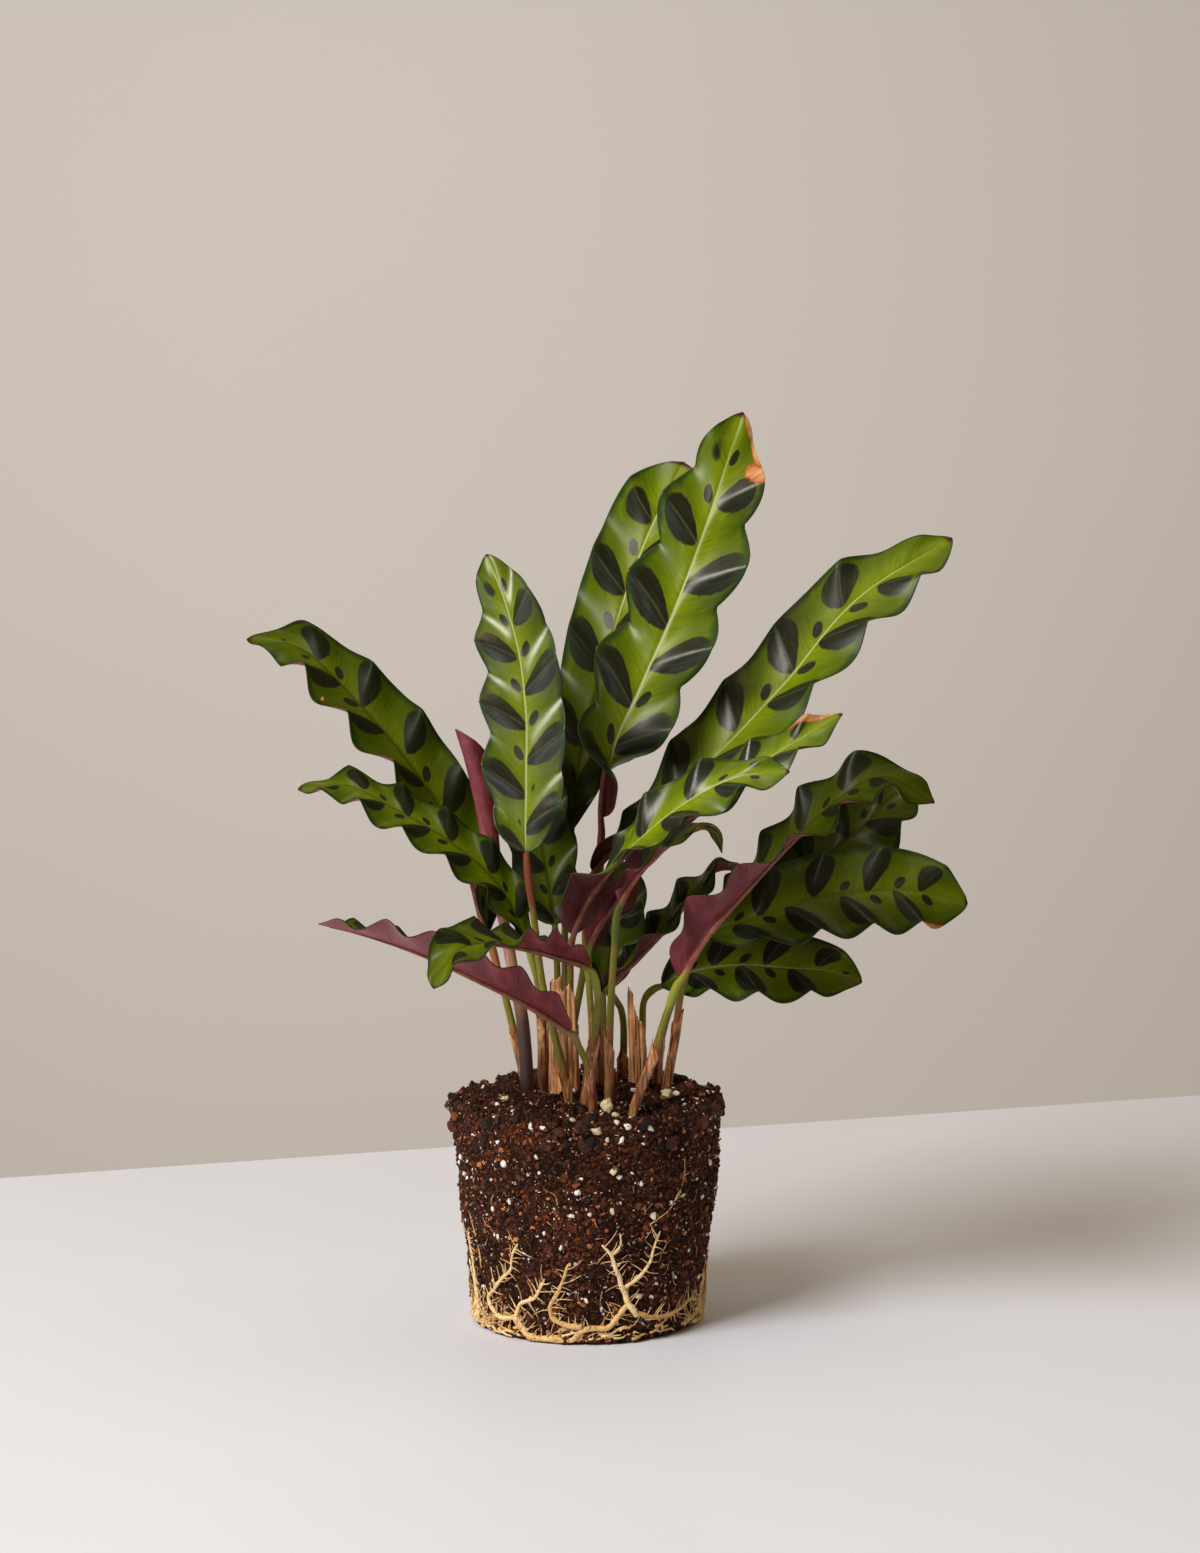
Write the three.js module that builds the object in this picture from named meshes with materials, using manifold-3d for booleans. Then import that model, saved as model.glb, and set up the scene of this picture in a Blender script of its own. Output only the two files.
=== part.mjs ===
// A young rattlesnake plant standing on its bare root ball, as lifted out of a nursery pot.
// Millimetres, +Z up, the origin at the middle of the root ball's flat underside, the viewer at -Y.
import * as THREE from 'three';
import { mergeVertices } from 'three/addons/utils/BufferGeometryUtils.js';
import Module from 'manifold-3d';

const wasm = await Module();
wasm.setup();

// Root ball, the shape of the pot that it grew in
const BALL_HEIGHT = 83;
const BALL_BOTTOM_RADIUS = 42;
const BALL_TOP_RADIUS = 51;
const RIM_ROUNDING = 4;
const RIM_DROP = 1.2;
const FOOT_ROUNDING = 1.5;
const TOP_DOME = 2.5;
const BALL_SEGMENTS = 36;
const FOOT_CUT = 0.6;

// Waves in the ball's side: how far they stand out, how many go round and how much they lean
const BALL_WAVES = [
  { size: 0.5, around: 3, up: 0.05, lead: 0 },
  { size: 0.4, around: 5, up: -0.11, lead: Math.PI / 2 },
  { size: 0.3, around: 8, up: 0.16, lead: 0 },
];

// Clods on the soil's top: a large one at the right rim and a low ridge along the back
const CLODS = [
  { at: [40, -6], height: 6, spread: [7, 9] },
  { at: [0, 40], height: 2, spread: [Infinity, 9] },
];

// Perlite grains and bits of bark, half sunk in the soil
const GRAIN_COUNT = 30;
const GRAIN_RADIUS = [1.3, 2.8];
const GRAIN_SINK = 0.2;
const GRAIN_TOP_BAND = [14, 45];
const GRAIN_SIDE_BAND = [36, 74];
const GRAIN_CLEARANCE = 5;

// Depth to which the stalks reach into the soil
const FOOT_HEIGHT = BALL_HEIGHT - 7.5;

// Gap between pieces that touch, and the looser one round a stalk in its hole, which reaches up
// past the clods
const GAP = 0.35;
const HOLE_GAP = 0.6;
const HOLE_HEADROOM = 9;

// Leaf blades and their stalks
const BLADE_THICKNESS = 0.7;
const BLADE_END_HALF = 0.5;
const BASE_CURVE = [2.2, 0.62];
const TIP_CURVE = [2.8, 0.72];
const MIDRIB_DEPTH = 1.1;
const STALK_FOOT_RADIUS = 1.9;
const STALK_TOP_RADIUS = 1.15;
const SWELLING = 0.35;
const SWELLING_START = 0.8;
const BLADE_COLUMNS = [-1, -0.5, 0, 0.5, 1];
const STALK_STEPS = 7;
const STEPS_PER_WAVE = 4;

// Wavy margin: how far it also goes in and out, how the swing grows from midrib to margin, and the
// shares of the blade at its base and tip over which the waves die away
const SCALLOP = 0.07;
const SWING_CURVE = 1.6;
const CALM_BASE = 0.15;
const CALM_TIP = 0.1;

// Roots round the foot of the ball
const ROOT_RADIUS = 1.0;
const ROOT_TIP_RADIUS = 0.6;
const ROOTLET_RADIUS = 0.6;
const ROOTLET_TIP_RADIUS = 0.5;
const ROOT_LIFT = ROOT_RADIUS + GAP + 0.2;
const ROOT_RING_HEIGHT = 2.6;
const ROOT_RING_STOPS = 40;
const ROOT_BRANCHES = 10;
const BRANCH_STEPS = 5;
const BRANCH_REACH = [16, 29];
const BRANCH_BEND = 0.05;

const COLOURS = {
  soil: 0x3a241b,
  root: 0xc9a468,
  leaf: 0x4f7d1d,
  rolled: 0x7d4150,
  sheath: 0xa07850,
};

// Every leaf from its foot in the soil to its tip. The points of `stalk` and `blade` are the middle
// line. `face` is the way the green side looks and `fold` how steeply both halves rise from the
// midrib, from the blade's base to its tip. `half` is half the width at the `widest` place along it,
// and `waves`, `swing` and `lead` shape the wavy margin.
const LEAVES = [
  {
    name: 'leaf_left_high',
    stalk: [[-22.5, 6.5, 84], [-27, 7, 106], [-32, 8, 126]],
    blade: [
      [-37, 10, 144], [-46, 20, 173], [-64, 28, 202],
      [-87, 40, 228], [-110, 52, 248], [-131, 60, 251],
    ],
    face: [[0.8, -0.2, 0.4], [0.6, -0.65, 0.5], [0.5, -0.75, 0.55], [0.3, -0.8, 0.6]],
    half: 17, widest: 0.52, fold: [0.5, 0.25], waves: 6, swing: 2.5, lead: 0,
  },
  {
    name: 'leaf_left_mid',
    stalk: [[-16.8, 2, 84], [-16.5, 0, 105], [-18, -6, 127]],
    blade: [
      [-22, -12, 143], [-32, -14, 165], [-50, -13, 181],
      [-69, -9, 192], [-89, -3, 201], [-107, 2, 199],
    ],
    face: [[0.6, -0.75, 0.3], [0.35, -0.85, 0.45], [0.2, -0.8, 0.6], [0.1, -0.7, 0.7]],
    half: 9.5, widest: 0.36, fold: [0.4, 0.1], waves: 6, swing: 3.2, lead: 0.25,
  },
  {
    name: 'leaf_low_left',
    stalk: [[2.5, -31, 84], [0.5, -34, 101], [-3, -38, 110]],
    blade: [
      [-6, -43, 116], [-19, -48, 126], [-39, -54, 137],
      [-59, -60, 147], [-77, -66, 154], [-94, -71, 159],
    ],
    face: [[0.5, 0.3, 0.8], [0.3, 0.3, 0.9], [0.2, 0.3, 0.9]],
    half: 12, widest: 0.4, fold: [0.9, 0.5], waves: 5, swing: 2.2, lead: 0,
  },
  {
    name: 'leaf_front_drooping',
    stalk: [[-1, -25, 84], [3, -28, 110], [4, -31, 128]],
    blade: [
      [1, -35, 138], [-11, -44, 144], [-24, -57, 149],
      [-37, -72, 152], [-46, -82, 150], [-53, -90, 139],
    ],
    face: [[0.2, 0.3, 0.9], [0.0, 0.15, 1], [-0.3, -0.7, 0.7], [-0.5, -0.8, 0.3]],
    half: 11, widest: 0.5, fold: [0.8, 0.15], waves: 5, swing: 2.2, lead: 0.25,
  },
  {
    name: 'leaf_front_upright',
    stalk: [[-6, -19, 84], [-10, -19, 103], [-16, -21, 129], [-19, -22, 153]],
    blade: [
      [-22, -22, 178], [-22, -21, 203], [-22, -17, 228],
      [-25, -12, 252], [-31, -6, 272], [-37, 0, 286],
    ],
    face: [[-0.1, -1, 0.1], [-0.2, -0.95, 0.15], [-0.3, -0.9, 0.35]],
    half: 14.8, widest: 0.4, fold: [0.3, 0.1], waves: 4.5, swing: 2.8, lead: 0.5,
  },
  {
    name: 'leaf_tall_back',
    stalk: [[-6, 24, 86], [-8, 26, 116], [-8, 26, 154]],
    blade: [
      [-6, 27, 181], [-2, 31, 209], [5, 35, 237],
      [14, 43, 267], [24, 51, 293], [37, 61, 319],
    ],
    face: [[-0.3, -0.9, 0.2], [-0.35, -0.9, 0.3], [-0.2, -0.9, 0.4]],
    half: 17.5, widest: 0.6, fold: [0.3, 0.1], waves: 5, swing: 3.6, lead: 0.25,
  },
  {
    name: 'leaf_tallest',
    stalk: [[5.5, 20, 86], [5, 21, 117], [5, 20, 155]],
    blade: [
      [6, 14, 187], [10, 11, 213], [20, 14, 236],
      [33, 21, 265], [46, 30, 299], [59, 42, 338],
    ],
    face: [
      [0.7, 0.6, 0.2], [-0.05, -0.9, 0.3], [-0.05, -0.9, 0.4],
      [0.05, -0.9, 0.45], [0.15, -0.9, 0.5],
    ],
    half: 17.5, widest: 0.62, fold: [0.3, 0.05], waves: 5, swing: 4.2, lead: 0,
  },
  {
    name: 'leaf_long_right',
    stalk: [[-4.5, 11, 85], [-5.5, 10, 103], [-1, 7, 132]],
    blade: [
      [2, 4, 168], [20, 6, 185], [45, 13, 207],
      [74, 25, 235], [103, 40, 265], [141, 58, 287],
    ],
    face: [[-0.7, 0.3, 0.6], [-0.5, -0.65, 0.5], [-0.45, -0.72, 0.55], [-0.35, -0.72, 0.6]],
    half: 19, widest: 0.6, fold: [0.4, 0.1], waves: 6, swing: 3.0, lead: 0,
  },
  {
    name: 'leaf_right_bright',
    stalk: [[-6.5, 1.5, 84], [-6, 0.5, 109], [-6, -1, 130]],
    blade: [
      [-5, -9, 146], [2, -20, 164], [17, -31, 182],
      [37, -38, 199], [55, -41, 208], [73, -42, 210],
    ],
    face: [
      [-0.1, 0.75, 0.5], [-0.5, 0.2, 0.8], [-0.35, -0.6, 0.8],
      [-0.3, -0.65, 0.7], [-0.2, -0.65, 0.7],
    ],
    half: 13, widest: 0.5, fold: [0.4, 0.1], waves: 5, swing: 3.0, lead: 0,
  },
  {
    name: 'leaf_right_yellow',
    stalk: [[1.5, -6, 84], [2, -4, 110], [1, -3, 126]],
    blade: [
      [1, -2, 139], [9, -5, 156], [27, -13, 179],
      [50, -16, 200], [73, -14, 216], [94, -8, 228],
    ],
    face: [[0.2, 0.8, 0.4], [-0.5, 0.2, 0.8], [-0.35, -0.6, 0.8], [-0.35, -0.65, 0.65]],
    half: 12, widest: 0.5, fold: [0.4, 0.1], waves: 6, swing: 2.8, lead: 0.25,
  },
  {
    name: 'leaf_thin_curled',
    stalk: [[8.5, -11, 84], [8.5, -13, 107], [10, -22, 139]],
    blade: [
      [12, -33, 161], [17, -45, 172], [25, -57, 182],
      [36, -62, 190], [44, -67, 192], [48, -70, 184],
    ],
    face: [[-0.3, 0.2, 0.9], [-0.4, -0.4, 0.9], [-0.2, -0.7, 0.7], [0.5, -0.7, 0.4]],
    half: 5.5, widest: 0.35, fold: [0.6, 0.4], waves: 4, swing: 1.4, lead: 0,
  },
  {
    name: 'leaf_right_narrow',
    stalk: [[13, 26, 85], [14, 23, 99], [13, 15, 114]],
    blade: [
      [8, 5, 125], [18, 0, 136], [29, 2, 147],
      [39, 7, 158], [48, 14, 167], [57, 22, 169],
    ],
    face: [[-0.5, 0.2, 0.8], [-0.6, -0.3, 0.7], [-0.5, -0.4, 0.8]],
    half: 9.5, widest: 0.45, fold: [0.5, 0.2], waves: 4, swing: 2.4, lead: 0,
  },
  {
    name: 'leaf_right_arching',
    stalk: [[17, -32, 83], [24, -34, 104], [29, -37, 121]],
    blade: [
      [34, -40, 135], [43, -43, 151], [58, -46, 169],
      [78, -49, 190], [102, -52, 207], [125, -54, 204],
    ],
    face: [[-0.3, 0.6, 0.7], [-0.4, 0.1, 0.95], [-0.3, -0.45, 0.85], [-0.1, -0.5, 0.85]],
    half: 16, widest: 0.38, fold: [0.8, 0.3, 0.1], waves: 6, swing: 3.4, lead: 0,
  },
  {
    name: 'leaf_right_dark',
    stalk: [[27, 21, 85], [28, 22, 101], [39, 22, 130]],
    blade: [
      [54, 23, 144], [69, 24, 157], [85, 26, 167],
      [100, 30, 178], [113, 34, 190], [124, 39, 200],
    ],
    face: [[-0.4, -0.6, 0.7], [-0.3, -0.75, 0.6], [-0.2, -0.8, 0.6]],
    half: 18, widest: 0.5, fold: [0.3, 0.1], waves: 5, swing: 3.6, lead: 0.25,
  },
  {
    name: 'leaf_right_broad',
    stalk: [[30, 12, 84], [33, 10, 103], [36, 0, 126]],
    blade: [
      [44, -8, 145], [61, -9, 152], [81, -7, 158],
      [101, -4, 161], [122, 0, 161], [142, 4, 156],
    ],
    face: [[-0.15, -0.7, 0.7], [-0.1, -0.75, 0.65], [0.0, -0.8, 0.6]],
    half: 18.5, widest: 0.5, fold: [0.2, 0.1], waves: 5, swing: 2.6, lead: 0.25,
  },
  {
    name: 'leaf_right_low',
    stalk: [[20, 21, 85], [21, 20, 105], [22, 17, 118]],
    blade: [
      [28, 12, 124], [42, 10, 130], [59, 9, 132],
      [76, 8, 131], [91, 7, 130], [103, 6, 126],
    ],
    face: [[0.0, -0.75, 0.7], [0.0, -0.75, 0.7], [0.1, -0.7, 0.7]],
    half: 15.5, widest: 0.45, fold: [0.2, 0.1], waves: 4, swing: 2.0, lead: 0.25,
  },
  {
    name: 'leaf_centre_short',
    stalk: [[-10.5, 6.5, 84], [-11, 7, 119], [-11, 8, 145]],
    blade: [[-11, 9, 164], [-15, 12, 176], [-19, 16, 193], [-21, 20, 210], [-21, 24, 224]],
    face: [[-0.1, -0.95, 0.2], [0, -0.95, 0.3]],
    half: 11.5, widest: 0.4, fold: [0.3, 0.1], waves: 3, swing: 2.0, lead: 0.25,
  },
  {
    name: 'leaf_centre_small',
    stalk: [[9, 13, 85], [7, 13, 103]],
    blade: [[6, 13, 121], [9, 13, 135], [12, 14, 148], [14, 16, 160], [13, 19, 170]],
    face: [[-0.1, -0.95, 0.2], [0, -0.95, 0.3]],
    half: 10, widest: 0.45, fold: [0.3, 0.1], waves: 3, swing: 1.6, lead: 0.25,
  },
];

// The newest leaf, still rolled into a tube on its thick stalk: middle line and radius at each point
const ROLLED_LEAF = [
  { at: [-22, -2.5, FOOT_HEIGHT], radius: 2.6 },
  { at: [-22, -2.5, 86], radius: 2.6 },
  { at: [-24, -2, 114], radius: 2.4 },
  { at: [-27, -1, 129], radius: 2.2 },
  { at: [-30, 0, 146], radius: 2.2 },
  { at: [-34, 2, 165], radius: 2.7 },
  { at: [-37, 1, 188], radius: 3.1 },
  { at: [-40, -1, 205], radius: 2.9 },
  { at: [-45, -4, 224], radius: 1.0 },
];

// Dry leaf sheaths that stand open to the back: axis at foot and top, radius, how far each wraps
// round (radians, from its right edge over the front), and the height of its torn top at each column
const SHEATHS = [
  {
    name: 'dry_sheath_left',
    foot: [-8.5, 1.7], top: [-9, 0], radius: 5.6, from: -3.3, to: 0.1,
    tops: [114, 127, 129, 124, 127, 120, 110],
  },
  {
    name: 'dry_sheath_right',
    foot: [19.5, 12.5], top: [18.3, 12], radius: 3.2, from: -3.2, to: 0.3,
    tops: [104, 123, 121, 112, 110, 106, 98],
  },
];
const SHEATH_THICKNESS = 0.9;
const SHEATH_ROWS = 5;

// A repeatable draw from 0 to 1
function draws(seed) {
  let state = seed;
  return () => {
    state = (state * 1664525 + 1013904223) % 4294967296;
    return state / 4294967296;
  };
}

// Closed body through rings of points. The first half of each ring runs along the upper face and
// the rest back along the lower face, and both faces are split into triangles alike.
function sweep(rings) {
  const count = rings[0].length;
  const upper = count / 2;
  const positions = [];
  const faces = [];
  for (const ring of rings) {
    for (const point of ring) positions.push(point.x, point.y, point.z);
  }
  for (let i = 0; i < rings.length - 1; i += 1) {
    for (let k = 0; k < count; k += 1) {
      const next = (k + 1) % count;
      const a = i * count + k;
      const b = i * count + next;
      const c = (i + 1) * count + next;
      const d = (i + 1) * count + k;
      if (k < upper) faces.push(a, b, c, a, c, d);
      else faces.push(a, b, d, b, c, d);
    }
  }
  const last = (rings.length - 1) * count;
  for (let k = 0; k < upper - 1; k += 1) {
    const mirror = count - 1 - k;
    faces.push(k, mirror, k + 1, k + 1, mirror, mirror - 1);
    faces.push(last + k, last + k + 1, last + mirror, last + k + 1, last + mirror - 1, last + mirror);
  }
  const geometry = new THREE.BufferGeometry();
  geometry.setAttribute('position', new THREE.Float32BufferAttribute(positions, 3));
  geometry.setIndex(faces);
  return geometry;
}

// Thin sheet on both sides of a grid of points, as rings for sweep. `extra` deepens the lower face.
function sheetRings(grid, thickness, extra) {
  const rows = grid.length;
  const columns = grid[0].length;
  return grid.map((row, i) => {
    const upper = [];
    const lower = [];
    row.forEach((point, j) => {
      const along = grid[Math.min(i + 1, rows - 1)][j].clone().sub(grid[Math.max(i - 1, 0)][j]);
      const across = row[Math.min(j + 1, columns - 1)].clone().sub(row[Math.max(j - 1, 0)]);
      const out = across.cross(along).normalize();
      upper.push(point.clone().addScaledVector(out, thickness / 2));
      lower.push(point.clone().addScaledVector(out, -thickness / 2 - extra(i, j)));
    });
    return [...upper, ...lower.reverse()];
  });
}

// Round section of a stalk or root, with `sides` corners, even on both halves
function roundRing(centre, side, up, radius, sides) {
  const ring = [];
  for (let k = 0; k < sides; k += 1) {
    const angle = Math.PI - (Math.PI * (2 * k + 1)) / sides;
    const point = centre.clone();
    point.addScaledVector(side, radius * Math.cos(angle));
    point.addScaledVector(up, radius * Math.sin(angle));
    ring.push(point);
  }
  return ring;
}

// Value a share of the way along a list of evenly spaced numbers
function mix(values, t) {
  const place = t * (values.length - 1);
  const index = Math.min(Math.floor(place), values.length - 2);
  return values[index] + (values[index + 1] - values[index]) * (place - index);
}

// The same for a list of directions
function mixDirection(directions, t) {
  return [0, 1, 2].map((axis) => mix(directions.map((direction) => direction[axis]), t));
}

function curveThrough(points) {
  const stops = points.map((point) => new THREE.Vector3(...point));
  const curve = new THREE.CatmullRomCurve3(stops, false, 'centripetal');
  curve.arcLengthDivisions = 600;
  return curve;
}

// Share of the curve's length at which it passes its point number `index`
function shareAt(curve, index, count) {
  const lengths = curve.getLengths();
  const place = Math.round((index / (count - 1)) * (lengths.length - 1));
  return lengths[place] / lengths[lengths.length - 1];
}

// Width of a blade from base (0) to tip (1), as a share of its widest
function bladeOutline(t, widest) {
  if (t < widest) return (1 - (1 - t / widest) ** BASE_CURVE[0]) ** BASE_CURVE[1];
  return Math.max(1 - ((t - widest) / (1 - widest)) ** TIP_CURVE[0], 0) ** TIP_CURVE[1];
}

function frameAt(curve, share, facing) {
  const tangent = curve.getTangentAt(share);
  const up = new THREE.Vector3(...facing);
  up.addScaledVector(tangent, -up.dot(tangent)).normalize();
  const side = new THREE.Vector3().crossVectors(tangent, up);
  return { centre: curve.getPointAt(share), up, side };
}

// Middle surface of a blade at one place along it
function bladeRow(leaf, curve, start, t) {
  const { centre, up, side } = frameAt(curve, start + (1 - start) * t, mixDirection(leaf.face, t));
  const half = Math.max(leaf.half * bladeOutline(t, leaf.widest), BLADE_END_HALF);
  const slope = Math.atan(mix(leaf.fold, t));
  const waviness = Math.min(t / CALM_BASE, 1) * Math.min((1 - t) / CALM_TIP, 1);
  return BLADE_COLUMNS.map((s) => {
    const turn = 2 * Math.PI * (leaf.waves * t + leaf.lead + (s < 0 ? 0.5 : 0));
    const reach = half * s * (1 + SCALLOP * waviness * Math.abs(s) * Math.cos(turn));
    const wave = leaf.swing * waviness * Math.abs(s) ** SWING_CURVE * Math.sin(turn);
    const point = centre.clone().addScaledVector(side, reach * Math.cos(slope));
    return point.addScaledVector(up, Math.abs(reach) * Math.sin(slope) + wave);
  });
}

// Radius of a stalk from its foot (0) to the blade (1), with the swelling just below the blade
function stalkRadius(t) {
  const share = Math.max((t - SWELLING_START) / (1 - SWELLING_START), 0);
  return mix([STALK_FOOT_RADIUS, STALK_TOP_RADIUS], t) + SWELLING * Math.sin(share * Math.PI);
}

// A leaf's middle line, and the share of it at which the blade starts
function leafLine(leaf) {
  const foot = [leaf.stalk[0][0], leaf.stalk[0][1], FOOT_HEIGHT];
  const points = [foot, ...leaf.stalk, ...leaf.blade];
  const curve = curveThrough(points);
  return { curve, start: shareAt(curve, leaf.stalk.length + 1, points.length) };
}

function leafGeometry(leaf) {
  const { curve, start } = leafLine(leaf);
  const rings = [];
  for (let i = 0; i <= STALK_STEPS; i += 1) {
    const t = i / STALK_STEPS;
    const { centre, up, side } = frameAt(curve, start * t, leaf.face[0]);
    rings.push(roundRing(centre, side, up, stalkRadius(t), 2 * BLADE_COLUMNS.length));
  }
  const steps = Math.round(STEPS_PER_WAVE * leaf.waves);
  const grid = [];
  for (let i = 0; i <= steps; i += 1) grid.push(bladeRow(leaf, curve, start, i / steps));
  const midrib = (i, j) => (BLADE_COLUMNS[j] === 0 ? MIDRIB_DEPTH * (1 - i / steps) : 0);
  rings.push(...sheetRings(grid, BLADE_THICKNESS, midrib).slice(1));
  return sweep(rings);
}

// Round stalk or root through points, with its radius along it
function roundBody(points, radii, steps, sides, facing = [0.3, -1, 0.2]) {
  const curve = curveThrough(points);
  const rings = [];
  for (let i = 0; i <= steps; i += 1) {
    const { centre, up, side } = frameAt(curve, i / steps, facing);
    rings.push(roundRing(centre, side, up, mix(radii, i / steps), sides));
  }
  return sweep(rings);
}

function rolledLeafGeometry() {
  return roundBody(ROLLED_LEAF.map((stop) => stop.at), ROLLED_LEAF.map((stop) => stop.radius), 18, 8);
}

function sheathGeometry(sheath) {
  const columns = sheath.tops.length;
  const grid = [];
  for (let i = 0; i <= SHEATH_ROWS; i += 1) {
    const t = i / SHEATH_ROWS;
    const row = [];
    for (let j = 0; j < columns; j += 1) {
      const angle = sheath.from + ((sheath.to - sheath.from) * j) / (columns - 1);
      const height = FOOT_HEIGHT + (sheath.tops[j] - FOOT_HEIGHT) * t;
      const lean = (height - BALL_HEIGHT) / (Math.max(...sheath.tops) - BALL_HEIGHT);
      const radius = sheath.radius * (1 - 0.1 * lean);
      const x = sheath.foot[0] + (sheath.top[0] - sheath.foot[0]) * lean + radius * Math.cos(angle);
      const y = sheath.foot[1] + (sheath.top[1] - sheath.foot[1]) * lean + radius * Math.sin(angle);
      row.push(new THREE.Vector3(x, y, height));
    }
    grid.push(row);
  }
  return sweep(sheetRings(grid, SHEATH_THICKNESS, () => 0));
}

// Uneven skin of the root ball: how far it stands out at an angle and a height
function ballUnevenness(angle, height) {
  const swings = BALL_WAVES.map((w) => w.size * Math.sin(w.around * angle + w.up * height + w.lead));
  return swings.reduce((sum, swing) => sum + swing, 0);
}

function ballRadius(angle, height) {
  const share = height / BALL_HEIGHT;
  const plain = BALL_BOTTOM_RADIUS + (BALL_TOP_RADIUS - BALL_BOTTOM_RADIUS) * share;
  const foot = Math.max(1 - height / FOOT_ROUNDING, 0) * FOOT_ROUNDING * FOOT_CUT;
  return plain - foot + ballUnevenness(angle, height);
}

// Height of the soil's top at a place: a low, lumpy dome with clods
function soilTop(x, y) {
  const away = Math.hypot(x, y) / BALL_TOP_RADIUS;
  const dome = TOP_DOME * (1 - away ** 2);
  const broadLumps = 0.9 * Math.sin(0.19 * x + 0.6) * Math.cos(0.17 * y);
  const lumps = broadLumps + 0.6 * Math.sin(0.33 * x - 0.29 * y);
  const clods = CLODS.map(({ at, height, spread }) => {
    const distance = Math.hypot((x - at[0]) / spread[0], (y - at[1]) / spread[1]);
    return height * Math.exp(-(distance ** 2));
  });
  return clods.reduce((sum, clod) => sum + clod, BALL_HEIGHT + dome + lumps);
}

// Heights of the rings of the ball's side and sizes of the rings of its top
const SIDE_HEIGHTS = [0, FOOT_ROUNDING, 11, 22, 33, 44, 55, 66, 74, BALL_HEIGHT - RIM_ROUNDING];
const TOP_SHARES = [0.98, 0.86, 0.7, 0.52, 0.34, 0.17];
const SIDE_START = 2;
const TOP_START = SIDE_START + SIDE_HEIGHTS.length;

function ballGeometry() {
  const profile = [new THREE.Vector2(0, 0), new THREE.Vector2(BALL_BOTTOM_RADIUS / 2, 0)];
  SIDE_HEIGHTS.forEach((height) => profile.push(new THREE.Vector2(BALL_BOTTOM_RADIUS, height)));
  TOP_SHARES.forEach((share) => profile.push(new THREE.Vector2(share * BALL_TOP_RADIUS, BALL_HEIGHT)));
  profile.push(new THREE.Vector2(0, BALL_HEIGHT));
  const lathe = new THREE.LatheGeometry(profile, BALL_SEGMENTS);
  lathe.rotateX(Math.PI / 2);
  const position = lathe.attributes.position;
  for (let i = 0; i < position.count; i += 1) {
    const row = i % profile.length;
    const angle = Math.atan2(position.getY(i), position.getX(i));
    if (row >= TOP_START) {
      const share = row === profile.length - 1 ? 0 : TOP_SHARES[row - TOP_START];
      const radius = share * (BALL_TOP_RADIUS + ballUnevenness(angle, BALL_HEIGHT));
      const x = radius * Math.cos(angle);
      const y = radius * Math.sin(angle);
      const rounding = row === TOP_START ? RIM_DROP : 0;
      position.setXYZ(i, x, y, soilTop(x, y) - rounding);
    } else if (row >= SIDE_START) {
      const height = SIDE_HEIGHTS[row - SIDE_START];
      const radius = ballRadius(angle, height);
      position.setXYZ(i, radius * Math.cos(angle), radius * Math.sin(angle), height);
    }
  }
  return lathe;
}

function toSolid(geometry) {
  const bare = geometry.clone();
  bare.deleteAttribute('normal');
  bare.deleteAttribute('uv');
  const merged = mergeVertices(bare, 1e-3);
  const kept = [];
  const index = merged.index.array;
  for (let i = 0; i < index.length; i += 3) {
    const corners = [index[i], index[i + 1], index[i + 2]];
    if (new Set(corners).size === 3) kept.push(...corners);
  }
  const mesh = new wasm.Mesh({
    numProp: 3,
    vertProperties: Float32Array.from(merged.attributes.position.array),
    triVerts: Uint32Array.from(kept),
  });
  return new wasm.Manifold(mesh);
}

function toGeometry(solid) {
  const mesh = solid.getMesh();
  const geometry = new THREE.BufferGeometry();
  geometry.setAttribute('position', new THREE.Float32BufferAttribute(mesh.vertProperties, 3));
  geometry.setIndex(Array.from(mesh.triVerts));
  return geometry;
}

// Perlite grains and bits of bark, by turns in the soil's top and in the upper part of the side
function grainSolids() {
  const draw = draws(41);
  const grains = [];
  const stalkFeet = LEAVES.map((leaf) => leaf.stalk[0]);
  for (let i = 0; i < GRAIN_COUNT; i += 1) {
    const size = mix(GRAIN_RADIUS, draw());
    const angle = draw() * 2 * Math.PI;
    const onTop = i % 2 === 0;
    const place = new THREE.Vector3();
    if (onTop) {
      const radius = mix(GRAIN_TOP_BAND, draw());
      place.set(radius * Math.cos(angle), radius * Math.sin(angle), 0);
      place.z = soilTop(place.x, place.y) - GRAIN_SINK * size;
    } else {
      const height = mix(GRAIN_SIDE_BAND, draw());
      const radius = ballRadius(angle, height) - GRAIN_SINK * size;
      place.set(radius * Math.cos(angle), radius * Math.sin(angle), height);
    }
    const gaps = stalkFeet.map((foot) => Math.hypot(foot[0] - place.x, foot[1] - place.y));
    const crowded = Math.min(...gaps) < GRAIN_CLEARANCE;
    if (onTop && crowded) continue;
    const grain = new THREE.IcosahedronGeometry(size, 0);
    grain.rotateX(draw() * Math.PI);
    grain.rotateY(draw() * Math.PI);
    grain.scale(1, 1, 0.8);
    grain.translate(place.x, place.y, place.z);
    grains.push(toSolid(grain));
  }
  return grains;
}

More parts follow.
